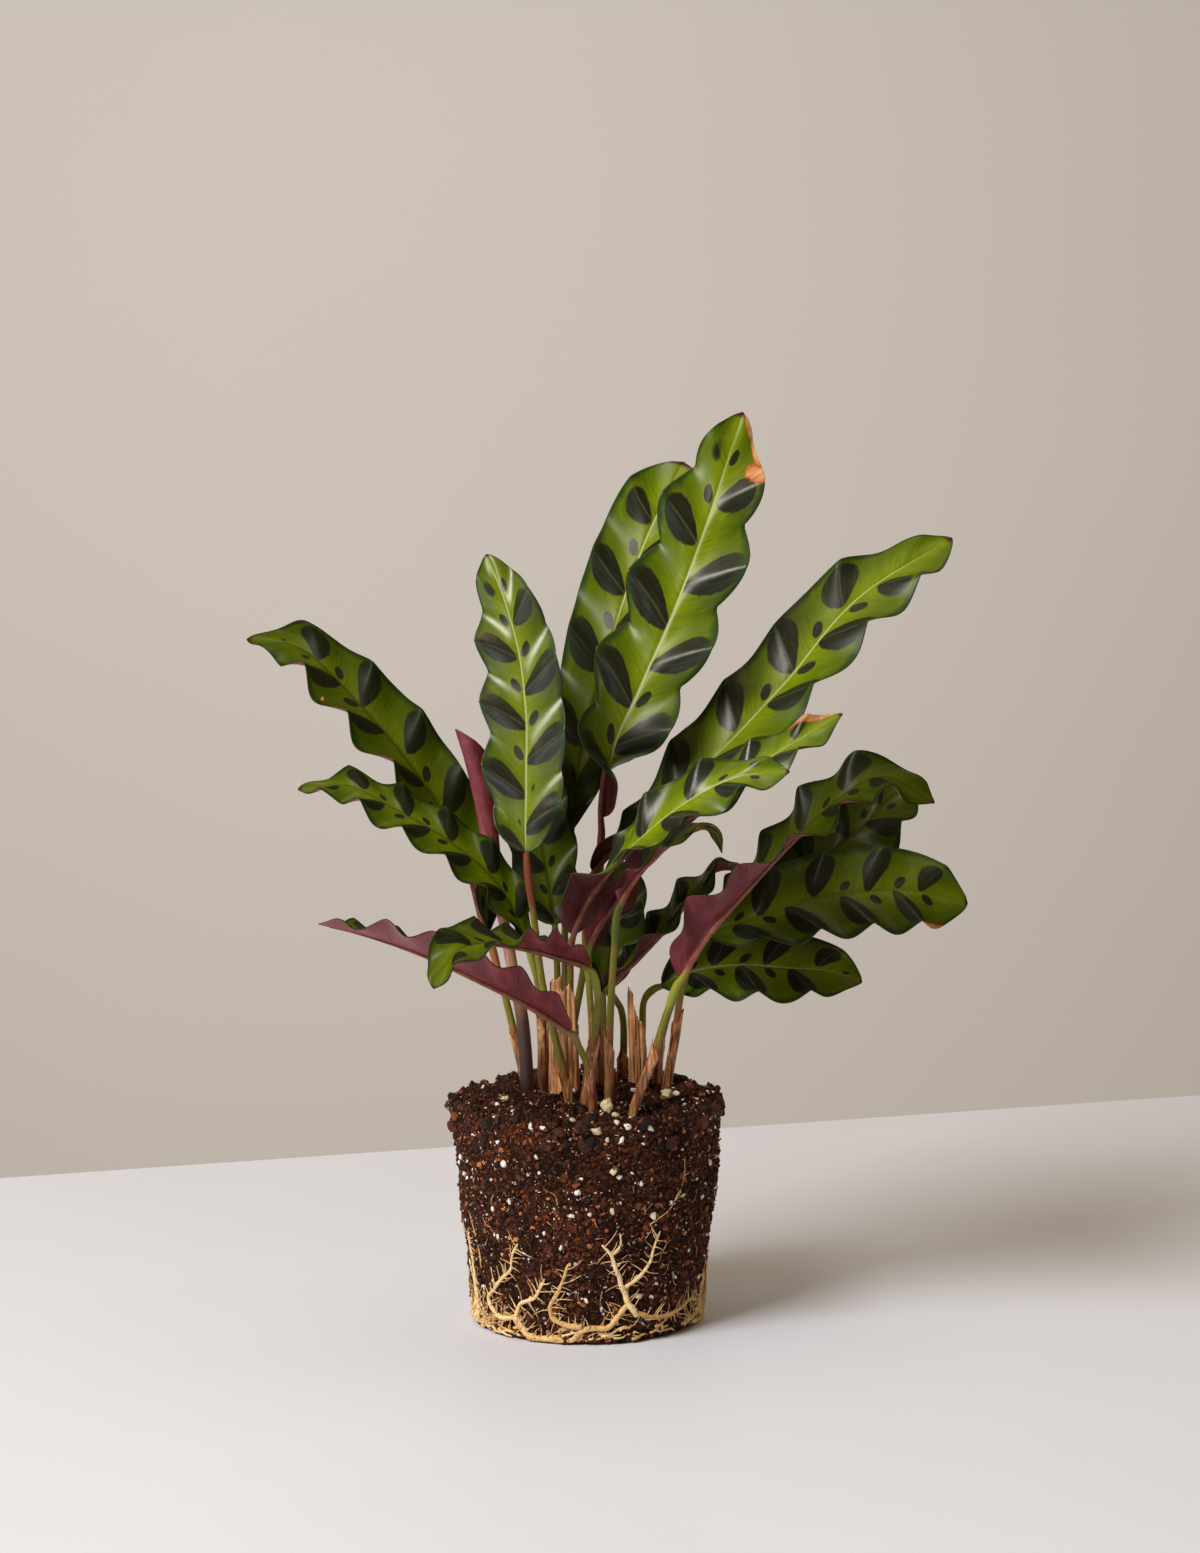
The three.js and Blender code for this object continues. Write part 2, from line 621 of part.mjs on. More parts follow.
// Six-sided hole round the part of a middle line that stands in the soil
function holeSolid(curve, radius) {
  const sides = 6;
  const corner = (radius + HOLE_GAP) / Math.cos(Math.PI / sides);
  const foot = curve.getPointAt(0);
  let share = 0;
  while (curve.getPointAt(share).z < BALL_HEIGHT + HOLE_HEADROOM) share += 0.01;
  const path = [foot.clone().setZ(foot.z - GAP)];
  [0, 1 / 3, 2 / 3, 1].forEach((part) => path.push(curve.getPointAt(share * part)));
  return toSolid(roundBody(path.map((point) => point.toArray()), [corner, corner], 4, sides));
}

function rootBallGeometry() {
  let ball = toSolid(ballGeometry());
  for (const grain of grainSolids()) ball = ball.add(grain);
  for (const leaf of LEAVES) ball = ball.subtract(holeSolid(leafLine(leaf).curve, STALK_FOOT_RADIUS));
  const rolledLine = curveThrough(ROLLED_LEAF.map((stop) => stop.at));
  ball = ball.subtract(holeSolid(rolledLine, ROLLED_LEAF[0].radius));
  for (const sheath of SHEATHS) {
    const heights = [FOOT_HEIGHT, BALL_HEIGHT, BALL_HEIGHT + 2 * HOLE_HEADROOM];
    const axis = curveThrough(heights.map((height) => [...sheath.foot, height]));
    ball = ball.subtract(holeSolid(axis, sheath.radius + SHEATH_THICKNESS / 2));
  }
  return toGeometry(ball);
}

// Middle of a root that lies against the ball's side at an angle and a height
function onSide(angle, height) {
  const radius = ballRadius(angle, height) + ROOT_LIFT;
  return [radius * Math.cos(angle), radius * Math.sin(angle), height];
}

function ringHeight(angle) {
  return ROOT_RING_HEIGHT + 0.9 * Math.sin(3 * angle) + 0.4 * Math.sin(7 * angle);
}

// Square section of the root that circles the foot
function ringSection() {
  const section = new THREE.Shape();
  section.moveTo(ROOT_RADIUS, 0);
  section.lineTo(0, ROOT_RADIUS);
  section.lineTo(-ROOT_RADIUS, 0);
  section.lineTo(0, -ROOT_RADIUS);
  section.closePath();
  return section;
}

// Roots that circle the foot of the ball and branch upward over its side, joined in one body
function rootNetGeometry() {
  const draw = draws(7);
  const ringPoints = [];
  for (let i = 0; i < ROOT_RING_STOPS; i += 1) {
    const angle = (2 * Math.PI * i) / ROOT_RING_STOPS;
    ringPoints.push(new THREE.Vector3(...onSide(angle, ringHeight(angle))));
  }
  const path = new THREE.CatmullRomCurve3(ringPoints, true);
  const ring = new THREE.ExtrudeGeometry(ringSection(), { steps: ROOT_RING_STOPS, extrudePath: path });
  let net = toSolid(ring);
  for (let i = 0; i < ROOT_BRANCHES; i += 1) {
    const start = (2 * Math.PI * (i + 0.35 * draw())) / ROOT_BRANCHES;
    const reach = mix(BRANCH_REACH, draw());
    const lean = (draw() - 0.5) * 0.5;
    const angleAt = (t) => start + lean * t + BRANCH_BEND * Math.sin(5 * t + i);
    const heightAt = (t) => ringHeight(start) + reach * t;
    const stem = [];
    for (let k = 0; k <= BRANCH_STEPS; k += 1) {
      const t = k / BRANCH_STEPS;
      stem.push(onSide(angleAt(t), heightAt(t)));
    }
    const radii = [ROOT_RADIUS, ROOT_TIP_RADIUS];
    net = net.add(toSolid(roundBody(stem, radii, BRANCH_STEPS, 4, [0, 0, 1])));
    for (let k = 2; k < BRANCH_STEPS; k += 1) {
      const from = angleAt(k / BRANCH_STEPS);
      const height = heightAt(k / BRANCH_STEPS);
      const hand = k % 2 === 0 ? 1 : -1;
      const rootlet = [
        onSide(from, height),
        onSide(from + hand * 0.07, height + 2.5),
        onSide(from + hand * (0.12 + 0.06 * draw()), height + 3 + 3 * draw()),
      ];
      const taper = [ROOTLET_RADIUS, ROOTLET_TIP_RADIUS];
      net = net.add(toSolid(roundBody(rootlet, taper, 2, 4, [0, 0, 1])));
    }
  }
  return toGeometry(net);
}

const plant = new THREE.Group();

function addPiece(name, geometry, color, roughness) {
  const piece = geometry.index ? geometry.toNonIndexed() : geometry;
  piece.computeVertexNormals();
  const material = new THREE.MeshStandardMaterial({ color, roughness, metalness: 0 });
  const mesh = new THREE.Mesh(piece, material);
  mesh.name = name;
  plant.add(mesh);
}

addPiece('root_ball', rootBallGeometry(), COLOURS.soil, 1);
addPiece('root_net', rootNetGeometry(), COLOURS.root, 0.7);
for (const leaf of LEAVES) addPiece(leaf.name, leafGeometry(leaf), COLOURS.leaf, 0.35);
addPiece('leaf_rolled', rolledLeafGeometry(), COLOURS.rolled, 0.45);
for (const sheath of SHEATHS) addPiece(sheath.name, sheathGeometry(sheath), COLOURS.sheath, 0.8);

export default plant;
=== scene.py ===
import math
import random
import bpy
import numpy as np
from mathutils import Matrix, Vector, noise


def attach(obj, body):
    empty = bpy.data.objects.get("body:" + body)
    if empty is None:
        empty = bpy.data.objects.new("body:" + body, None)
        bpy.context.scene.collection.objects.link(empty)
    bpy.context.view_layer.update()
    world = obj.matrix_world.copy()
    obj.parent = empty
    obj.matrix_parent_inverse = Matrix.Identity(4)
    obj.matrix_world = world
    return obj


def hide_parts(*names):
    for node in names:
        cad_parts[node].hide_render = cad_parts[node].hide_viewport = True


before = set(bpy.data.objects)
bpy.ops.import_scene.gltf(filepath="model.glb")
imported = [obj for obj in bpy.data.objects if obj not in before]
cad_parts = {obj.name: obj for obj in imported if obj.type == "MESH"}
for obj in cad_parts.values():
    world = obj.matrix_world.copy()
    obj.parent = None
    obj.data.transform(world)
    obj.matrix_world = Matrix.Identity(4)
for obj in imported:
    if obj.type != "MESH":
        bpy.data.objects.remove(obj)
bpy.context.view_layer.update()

MM = 0.001

# Table, wall, light and camera. The plant stands on a pale matt table top whose back edge runs off
# askew before a warm grey wall, lit by one large soft light from the upper left.


class Paint:
    """One output of a node in a material. Arithmetic on it adds Math nodes to the same material."""

    def __init__(self, tree, socket=None):
        self.tree = tree
        self.socket = socket

    def node(self, kind, settings=None, inputs=None, output=0):
        """Adds a node of any kind: its settings first, then values or paints for its sockets."""
        made = self.tree.nodes.new("ShaderNode" + kind)
        for key, value in (settings or {}).items():
            if key == "stops":
                ramp = made.color_ramp.elements
                ramp[0].position, ramp[0].color = value[0][0], (*value[0][1], 1)
                ramp[1].position, ramp[1].color = value[-1][0], (*value[-1][1], 1)
                for place, colour in value[1:-1]:
                    ramp.new(place).color = (*colour, 1)
            else:
                setattr(made, key, value)
        for key, value in (inputs or {}).items():
            if isinstance(value, Paint):
                self.tree.links.new(value.socket, made.inputs[key])
            elif isinstance(value, tuple) and made.inputs[key].type == "RGBA":
                made.inputs[key].default_value = (*value, 1)
            else:
                made.inputs[key].default_value = value
        return Paint(self.tree, made.outputs[output])

    def math(self, operation, *values):
        return self.node("Math", {"operation": operation}, dict(enumerate(values)))

    def __add__(self, other):
        return self.math("ADD", self, other)

    def __sub__(self, other):
        return self.math("SUBTRACT", self, other)

    def __rsub__(self, other):
        return self.math("SUBTRACT", other, self)

    def __mul__(self, other):
        return self.math("MULTIPLY", self, other)

    def __truediv__(self, other):
        return self.math("DIVIDE", self, other)

    def __rtruediv__(self, other):
        return self.math("DIVIDE", other, self)

    def __abs__(self):
        return self.math("ABSOLUTE", self)

    __radd__ = __add__
    __rmul__ = __mul__


def tint(red, green, blue):
    """A colour as seen, from 0 to 255, as the numbers that a material takes."""
    seen = (c / 255 for c in (red, green, blue))
    return tuple(((c + 0.055) / 1.055) ** 2.4 if c > 0.04 else c / 12.92 for c in seen)


def smooth(value, low, high):
    """0 where the value is `low` and 1 where it is `high`, with a soft change between."""
    return value.node("MapRange", {"interpolation_type": "SMOOTHSTEP"},
                      {"Value": value, "From Min": low, "From Max": high})


def blend(mask, below, above):
    """Colour `above` laid over colour `below` where the mask is 1."""
    return mask.node("Mix", {"data_type": "RGBA"}, {0: mask, 6: below, 7: above}, 2)


def speckle(at, scale, detail=2.0, rough=0.5):
    """Cloudy noise from 0 to 1, `scale` blobs to the metre."""
    return at.node("TexNoise", None, {"Vector": at, "Scale": scale, "Detail": detail, "Roughness": rough})


def new_material(name, **plain):
    """A material, the places on its surface, and a function that feeds its shader's sockets."""
    material = bpy.data.materials.new(name)
    material.use_nodes = True
    shader = material.node_tree.nodes["Principled BSDF"]
    for key, value in plain.items():
        shader.inputs[key.replace("_", " ").title().replace("Ior", "IOR")].default_value = value
    at = Paint(material.node_tree).node("TexCoord", output=3)

    def feed(**paints):
        for key, value in paints.items():
            material.node_tree.links.new(value.socket, shader.inputs[key.replace("_", " ").title()])

    return material, at, feed


def relief(height, depth, strength):
    """Bumps of the given height, from 0 to 1, that stand `depth` metres high."""
    return height.node("Bump", None, {"Strength": strength, "Distance": depth, "Height": height})


def new_mesh(name, points, faces):
    mesh = bpy.data.meshes.new(name)
    mesh.from_pydata(points, [], faces)
    return mesh


def add_object(name, data, *materials):
    """Puts a mesh, with its materials, or a lamp or a lens into the scene as an object at the origin."""
    for material in materials:
        data.materials.append(material)
    thing = bpy.data.objects.new(name, data)
    bpy.context.scene.collection.objects.link(thing)
    return thing


TABLE_EDGE_LEFT = Vector((-0.261, 0.248, 0))
TABLE_EDGE_RIGHT = Vector((0.303, 0.445, 0))
TABLE_PAST_LEFT = 3
TABLE_PAST_RIGHT = 4
TABLE_DEPTH = 4
TABLE_THICKNESS = 0.03
WALL_DISTANCE = 2.4
WALL_CORNERS = [(-5, -2), (5, -2), (5, 4), (-5, 4)]

table_paint, at, feed = new_material("table_top", roughness=0.55)
mottle = speckle(at, 9, 3)
feed(base_color=blend(mottle, tint(219, 227, 243), tint(225, 233, 249)),
     normal=relief(speckle(at, 900, 2), 0.00004, 0.4))
edge = (TABLE_EDGE_RIGHT - TABLE_EDGE_LEFT).normalized()
front = Vector((edge.y, -edge.x, 0)) * TABLE_DEPTH
left = TABLE_EDGE_LEFT - edge * TABLE_PAST_LEFT
right = TABLE_EDGE_LEFT + edge * TABLE_PAST_RIGHT
corners = [left, right, right + front, left + front]
under = [c - Vector((0, 0, TABLE_THICKNESS)) for c in corners]
mesh = new_mesh("table", [c[:] for c in corners + under],
                [(0, 3, 2, 1), (4, 5, 6, 7), (0, 1, 5, 4), (1, 2, 6, 5), (2, 3, 7, 6), (3, 0, 4, 7)])
table = add_object("table", mesh, table_paint)

wall_paint, at, feed = new_material("wall", roughness=0.9)
feed(base_color=blend(speckle(at, 1.5, 3), tint(200, 197, 196), tint(204, 202, 201)))
mesh = new_mesh("wall", [(x, WALL_DISTANCE, z) for x, z in WALL_CORNERS], [(0, 1, 2, 3)])
wall = add_object("wall", mesh, wall_paint)


def area_light(name, place, target, size, power, colour, spread=180):
    """A flat rectangular lamp at `place` that faces `target` and isn't seen itself."""
    lamp = bpy.data.lights.new(name, "AREA")
    lamp.spread = math.radians(spread)
    lamp.shape = "RECTANGLE"
    lamp.size, lamp.size_y = size
    lamp.energy = power
    lamp.color = colour
    holder = add_object(name, lamp)
    holder.location = place
    holder.rotation_euler = (Vector(target) - Vector(place)).to_track_quat("-Z", "Y").to_euler()
    holder.visible_camera = False
    return holder


area_light("key_light", place=(-1.15, -1.15, 1.6), target=(0, 0, 0.12), size=(1.0, 1.0),
           power=53, colour=(1.0, 0.93, 0.86))
area_light("top_light", place=(0.2, 0.3, 2.0), target=(0.2, 0.3, 0), size=(1.8, 1.4),
           power=9, colour=(1.0, 0.78, 0.52))
wall_light = area_light("wall_light", place=(-0.9, -0.4, 1.3), target=(0.05, 2.4, -0.35), size=(0.9, 0.9),
                        power=17.0, colour=(1.0, 0.985, 0.955), spread=100)
# The third lamp lights the wall alone
lit_by_wall_light = bpy.data.collections.new("lit_by_wall_light")
lit_by_wall_light.objects.link(wall)
wall_light.light_linking.receiver_collection = lit_by_wall_light

WORLD_GLOW = 0.185
world = bpy.data.worlds.new("studio")
world.use_nodes = True
background = world.node_tree.nodes["Background"].inputs
background["Color"].default_value = (1.0, 0.72, 0.42, 1)
background["Strength"].default_value = WORLD_GLOW
bpy.context.scene.world = world
bpy.context.scene.view_settings.view_transform = "Standard"

LENS_LENGTH = 85
SENSOR_WIDTH = 36
CAMERA_PLACE = (0.005, -1.35, 0.34)
CAMERA_DIP = 5.76
lens = bpy.data.cameras.new("camera")
lens.lens = LENS_LENGTH
lens.sensor_width = SENSOR_WIDTH
camera = add_object("camera", lens)
camera.location = CAMERA_PLACE
camera.rotation_euler = (math.radians(90 - CAMERA_DIP), 0, 0)
bpy.context.scene.camera = camera

# Root ball. Moist peat and bark pressed into the tapered shape of a nursery pot, with a loose,
# lumpy top; it is one body that holds together by its roots.
BALL_HEIGHT = 83
BALL_BOTTOM_RADIUS = 42
BALL_TOP_RADIUS = 51
RIM_ROUNDING = 4
TOP_DOME = 2.5
UNDERSIDE_LIFT = 0.4
FOOT_LIFT = 0.3
FOOT_ROUNDING = 0.9
FOOT_ROUNDING_HEIGHT = 1.5
UNDERSIDE_SHARES = (0.3, 0.6, 0.85)
UNDERSIDE_RINGS = 1 + len(UNDERSIDE_SHARES)
BALL_AROUND = 330
BALL_UP = 96
TOP_RINGS = 46


def ball_unevenness(angle, height):
    """How far the side swells or shrinks in mm, in broad bulges that lean as they rise."""
    return (0.5 * math.sin(3 * angle + 0.05 * height) + 0.4 * math.cos(5 * angle - 0.11 * height)
            + 0.3 * math.sin(8 * angle + 0.16 * height))


def ball_radius(angle, height):
    """Radius of the ball's side in mm at an angle round it and a height."""
    plain = BALL_BOTTOM_RADIUS + (BALL_TOP_RADIUS - BALL_BOTTOM_RADIUS) * height / BALL_HEIGHT
    return plain + ball_unevenness(angle, height)


def soil_top(x, y):
    """Height of the ball's top in mm, with its dome, its lumps, and clods at the rim and at the back."""
    dome = TOP_DOME * (1 - (math.hypot(x, y) / BALL_TOP_RADIUS) ** 2)
    lumps = 0.9 * math.sin(0.19 * x + 0.6) * math.cos(0.17 * y) + 0.6 * math.sin(0.33 * x - 0.29 * y)
    rim_clod = 6 * math.exp(-((x - 40) / 7) ** 2 - ((y + 6) / 9) ** 2)
    back_clods = 2 * math.exp(-((y - 40) / 9) ** 2)
    return BALL_HEIGHT + dome + lumps + rim_clod + back_clods


def clods(point, loose):
    """How far the soil stands out at a point, in mm: clods, lumps and crumbs, deeper where it is loose."""
    large = noise.noise(point * 0.14) * (0.7 + 2.6 * loose)
    middle = noise.noise(point * 0.4 + Vector((7, 3, 1))) * (0.6 + 1.3 * loose)
    small = noise.noise(point * 1.1 + Vector((1, 9, 4))) * (0.4 + 0.4 * loose)
    return large + middle + small


def grid_mesh(name, *bodies):
    """A mesh of bodies in mm, each a list of equal rings of points; a ring of one point closes to a fan."""
    points = []
    faces = []
    for body in bodies:
        for low, high in zip(body, body[1:]):
            a = len(points)
            b = a + len(low)
            points.extend(low)
            count = max(len(low), len(high))
            for k in range(count):
                n = (k + 1) % count
                if len(low) == 1:
                    faces.append((a, b + n, b + k))
                elif len(high) == 1:
                    faces.append((a + k, a + n, b))
                else:
                    faces.append((a + k, a + n, b + n, b + k))
        points.extend(body[-1])
    return new_mesh(name, [(x * MM, y * MM, z * MM) for x, y, z in points], faces)


ball_turns = np.linspace(0, 2 * math.pi, BALL_AROUND, endpoint=False)
rings = [[(0, 0, UNDERSIDE_LIFT)]]
for share in UNDERSIDE_SHARES:
    radius = share * BALL_BOTTOM_RADIUS
    rings.append([(radius * math.cos(a), radius * math.sin(a), UNDERSIDE_LIFT) for a in ball_turns])
for i in range(BALL_UP + 1):
    height = FOOT_LIFT + (BALL_HEIGHT - RIM_ROUNDING - FOOT_LIFT) * i / BALL_UP
    ring = []
    for a in ball_turns:
        radius = ball_radius(a, height) - FOOT_ROUNDING * max(1 - height / FOOT_ROUNDING_HEIGHT, 0)
        spot = Vector((radius * math.cos(a), radius * math.sin(a), height))
        radius += clods(spot, 0.5 * max(0, height / BALL_HEIGHT - 0.75)) - 0.2
        ring.append((radius * math.cos(a), radius * math.sin(a), height))
    rings.append(ring)
for i in range(TOP_RINGS):
    share = 1 - i / TOP_RINGS
    turn = min(i / 3, 1) * math.pi / 2
    ring = []
    for a in ball_turns:
        rim = ball_radius(a, BALL_HEIGHT) - 0.3
        radius = rim * share if i > 2 else rim - RIM_ROUNDING * 0.35 * (1 - math.cos(turn))
        x, y = radius * math.cos(a), radius * math.sin(a)
        height = soil_top(x, y) - RIM_ROUNDING * 0.45 * (1 - math.sin(turn))
        height += clods(Vector((x, y, 40)), 1.0) * min(1, 0.3 + i / 4)
        ring.append((x, y, height))
    rings.append(ring)
rings.append([(0, 0, soil_top(0, 0))])
soil_mesh = grid_mesh("soil", rings)
soil_mesh.shade_smooth()


def cells(at, scale, output):
    """Cells, `scale` to the metre: distance from the cell's middle (0), or the cell's own colour (1)."""
    return at.node("TexVoronoi", None, {"Vector": at, "Scale": scale}, output)


def channel(colour, number):
    return colour.node("SeparateColor", None, {0: colour}, number)


def ramp(value, *stops):
    """Colours that follow each other as the value rises, each as its place and its red, green and blue."""
    tinted = [(place, tint(*colour)) for place, *colour in stops]
    return value.node("ValToRGB", {"stops": tinted}, {0: value})


soil_paint, at, feed = new_material("moist_soil", roughness=0.9, specular_ior_level=0.15)
warped = at.node("VectorMath", {"operation": "ADD"}, {0: at, 1: at.node(
    "VectorMath", {"operation": "SCALE"}, {0: speckle(at, 700, 2), "Scale": 0.0012})})
grain_colour = cells(warped, 900, 1)
shade = channel(grain_colour, 0)
kind = channel(grain_colour, 1)
from_middle = cells(warped, 900, 0)
fine = speckle(at, 2600, 3, 0.6)
patches = speckle(at, 60, 3)
peat = ramp(shade, (0.0, 20, 9, 4), (0.45, 54, 24, 10), (0.8, 88, 45, 22), (1.0, 124, 66, 32))
barky = blend(smooth(kind, 0.93, 0.95), peat, tint(138, 78, 44))
damp = blend(smooth(patches, 0.35, 0.7), barky, tint(34, 17, 9))
damp = blend(smooth(fine, 0.45, 0.75) * 0.5, damp, tint(12, 6, 3))
grit = channel(cells(at, 520, 1), 0)
white = smooth(grit, 0.955, 0.965) * smooth(cells(at, 520, 0), 0.36, 0.26)
feed(base_color=blend(white, damp, tint(214, 204, 192)),
     normal=relief(fine * 0.5 + (1 - from_middle) * 0.8, 0.0008, 1.0))
soil = add_object("soil", soil_mesh, soil_paint)
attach(soil, "root")
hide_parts("root_ball")

# Loose crumbs, bark chips and perlite grains in the soil's skin. Peat crumbles off in small lumps,
# bark lies flat in it as orange-brown flakes, and perlite shows as white popped beads and as dust.
# Bigger clods of peat have broken loose along the rim and round the foot.
GRAIN_LIFT = 0.2


def scatter_tree(name, shape_kind, shape_sizes, rounded):
    """Geometry nodes that strew misshapen grains of one shape over a surface, sunk or raised a little."""
    tree = bpy.data.node_groups.new(name, "GeometryNodeTree")
    wants = [("Geometry", "Geometry"), ("Density", "Float"), ("Smallest", "Float"), ("Largest", "Float"),
             ("Flatness", "Float"), ("Sink", "Float"), ("Lean", "Float"), ("Distortion", "Float"),
             ("Seed", "Int"), ("Material", "Material")]
    for label, kind in wants:
        tree.interface.new_socket(label, in_out="INPUT", socket_type="NodeSocket" + kind)
    tree.interface.new_socket("Geometry", in_out="OUTPUT", socket_type="NodeSocketGeometry")

    def add(kind, settings=None, inputs=None):
        made = tree.nodes.new(kind)
        for key, value in (settings or {}).items():
            setattr(made, key, value)
        for key, value in (inputs or {}).items():
            if isinstance(value, bpy.types.NodeSocket):
                tree.links.new(value, made.inputs[key])
            else:
                made.inputs[key].default_value = value
        return made.outputs

    def maths(operation, first, second):
        return add("ShaderNodeMath", {"operation": operation}, {0: first, 1: second})[0]

    def vector(operation, first, second):
        other = "Scale" if operation == "SCALE" else 1
        return add("ShaderNodeVectorMath", {"operation": operation}, {0: first, other: second})[0]

    def chance(low, high, seed):
        """A random number for each grain, or a random vector where the limits are vectors."""
        if isinstance(low, tuple):
            return add("FunctionNodeRandomValue", {"data_type": "FLOAT_VECTOR"},
                       {0: low, 1: high, "Seed": seed})[0]
        return add("FunctionNodeRandomValue", {"data_type": "FLOAT"}, {2: low, 3: high, "Seed": seed})[1]

    def turned_by(rotation, angles):
        return add("FunctionNodeRotateRotation", {"rotation_space": "LOCAL"},
                   {"Rotation": rotation, "Rotate By": angles})[0]

    given = add("NodeGroupInput")
    points = add("GeometryNodeDistributePointsOnFaces", {"distribute_method": "RANDOM"},
                 {"Mesh": given["Geometry"], "Density": given["Density"], "Seed": given["Seed"]})
    shape = add("GeometryNodeMesh" + shape_kind, None, shape_sizes)
    often_small = maths("POWER", chance(0.0, 1.0, given["Seed"]), 2.2)
    size = add("ShaderNodeMapRange", None, {0: often_small, 3: given["Smallest"], 4: given["Largest"]})[0]
    flat = add("ShaderNodeCombineXYZ", None, {0: 1.0, 1: 1.0, 2: given["Flatness"]})[0]
    stretch = vector("MULTIPLY", chance((0.75, 0.6, 0.6), (1.35, 1.0, 0.9), 3), flat)
    inward = vector("SCALE", points["Normal"], maths("MULTIPLY", size, given["Sink"]))
    sunk = add("GeometryNodeSetPosition", None, {"Geometry": points["Points"], "Offset": inward})[0]
    tilted = turned_by(points["Rotation"], chance((-0.6, -0.6, 0.0), (0.6, 0.6, 6.28), 5))
    lean = add("ShaderNodeCombineXYZ", None, {0: given["Lean"], 1: 0.0, 2: 0.0})[0]
    placed = add("GeometryNodeInstanceOnPoints", None,
                 {"Points": sunk, "Instance": shape["Mesh"], "Rotation": turned_by(tilted, lean),
                  "Scale": vector("SCALE", stretch, size)})[0]
    marked = add("GeometryNodeStoreNamedAttribute", {"data_type": "FLOAT", "domain": "INSTANCE"},
                 {"Geometry": placed, "Name": "grain", "Value": chance(0.0, 1.0, 11)})[0]
    real = add("GeometryNodeRealizeInstances", None, {0: marked})[0]
    lump = add("ShaderNodeTexNoise", None, {"Scale": 800.0, "Detail": 1.0})
    shift = vector("SCALE", vector("SUBTRACT", lump[1], (0.5, 0.5, 0.5)), given["Distortion"])
    bent = add("GeometryNodeSetPosition", None, {"Geometry": real, "Offset": shift})[0]
    shaded = add("GeometryNodeSetShadeSmooth", None, {"Geometry": bent, "Shade Smooth": rounded})[0]
    finished = add("GeometryNodeSetMaterial", None, {"Geometry": shaded, "Material": given["Material"]})[0]
    add("NodeGroupOutput", None, {"Geometry": finished})
    return tree


def scatter(name, surface, tree, **values):
    """Grains over a surface, as a plain mesh of their own, none of them below the table."""
    ground = add_object(name + "_ground", surface)
    nodes = ground.modifiers.new("grains", "NODES")
    nodes.node_group = tree
    for item in tree.interface.items_tree:
        key = item.name.lower()
        if item.in_out == "INPUT" and key in values:
            nodes[item.identifier] = values[key]
    evaluated = ground.evaluated_get(bpy.context.evaluated_depsgraph_get())
    mesh = bpy.data.meshes.new_from_object(evaluated)
    mesh.name = name
    for point in mesh.vertices:
        point.co.z = max(point.co.z, GRAIN_LIFT * MM)
    bpy.data.objects.remove(ground)
    piece = add_object(name, mesh)
    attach(piece, "root")


def carried(at, name, output=2):
    """What a mesh carries at its points under a name: a number (2), a vector (1) or a colour (0)."""
    return at.node("Attribute", {"attribute_name": name}, None, output)


def part(vector, number):
    """The x, y or z of a vector, for the number 0, 1 or 2."""
    return vector.node("SeparateXYZ", None, {0: vector}, number)


crumb_paint, at, feed = new_material("peat_crumbs", roughness=0.7, specular_ior_level=0.35)
tone = ramp(carried(at, "grain"), (0.0, 22, 10, 6), (0.5, 68, 32, 16), (0.88, 104, 51, 26),
            (0.95, 164, 88, 46), (1.0, 236, 164, 104))
# Painted shade: the crumbs on the ball's top, under the leaves, are darkened
tone = blend(smooth(part(at, 2), 0.079, 0.086) * 0.55, tone, tint(18, 9, 5))
fine = speckle(at, 2400, 3, 0.6)
feed(base_color=blend(smooth(fine, 0.4, 0.7) * 0.4, tone, tint(16, 7, 4)), normal=relief(fine, 0.0006, 0.9))

bark_paint, at, feed = new_material("bark_chips", roughness=0.75, specular_ior_level=0.25)
tone = ramp(carried(at, "grain"), (0.0, 84, 46, 30), (0.5, 120, 66, 40), (1.0, 168, 98, 54))
fine = speckle(at, 1500, 4, 0.7)
feed(base_color=blend(smooth(fine, 0.45, 0.7) * 0.7, tone, tint(60, 32, 22)),
     normal=relief(fine, 0.0005, 0.8))

perlite_paint, at, feed = new_material("perlite", roughness=0.6)
tone = ramp(carried(at, "grain"), (0.0, 252, 249, 244), (0.75, 248, 242, 230), (1.0, 226, 204, 168))
pits = speckle(at, 2200, 3, 0.6)
stain = speckle(at, 500, 2)
feed(base_color=blend(smooth(stain, 0.62, 0.74) * 0.5, tone, tint(150, 112, 84)),
     normal=relief(pits, 0.0004, 0.7))

# Where grains lie: all but the underside, the rings about the rim, and those just above the foot
soil_skin = grid_mesh("soil_skin", rings[UNDERSIDE_RINGS + 1:])
rim_skin = grid_mesh("rim_skin", rings[-TOP_RINGS - 8:-TOP_RINGS + 5])
foot_skin = grid_mesh("foot_skin", rings[UNDERSIDE_RINGS + 1:UNDERSIDE_RINGS + 5])
lumps = scatter_tree("lumps", "IcoSphere", {"Subdivisions": 1, "Radius": 1.0}, False)
clumps = scatter_tree("clumps", "IcoSphere", {"Subdivisions": 2, "Radius": 1.0}, False)
chips = scatter_tree("chips", "Cube", {"Size": (1.5, 1.5, 1.5)}, False)
beads = scatter_tree("beads", "UVSphere", {"Segments": 7, "Rings": 5, "Radius": 1.0}, True)
fibres = scatter_tree("fibres", "Cone", {"Vertices": 4, "Radius Top": 0.02, "Radius Bottom": 0.08,
                                         "Depth": 2.0}, True)
scatter("rim_clods", rim_skin, clumps, density=30000.0, smallest=0.0009, largest=0.0032,
        flatness=0.85, sink=0.1, distortion=0.0028, seed=14, material=crumb_paint)
scatter("peat_lumps", soil_skin, lumps, density=128000.0, smallest=0.00038, largest=0.0015,
        flatness=0.85, sink=-0.1, distortion=0.0012, seed=4, material=crumb_paint)
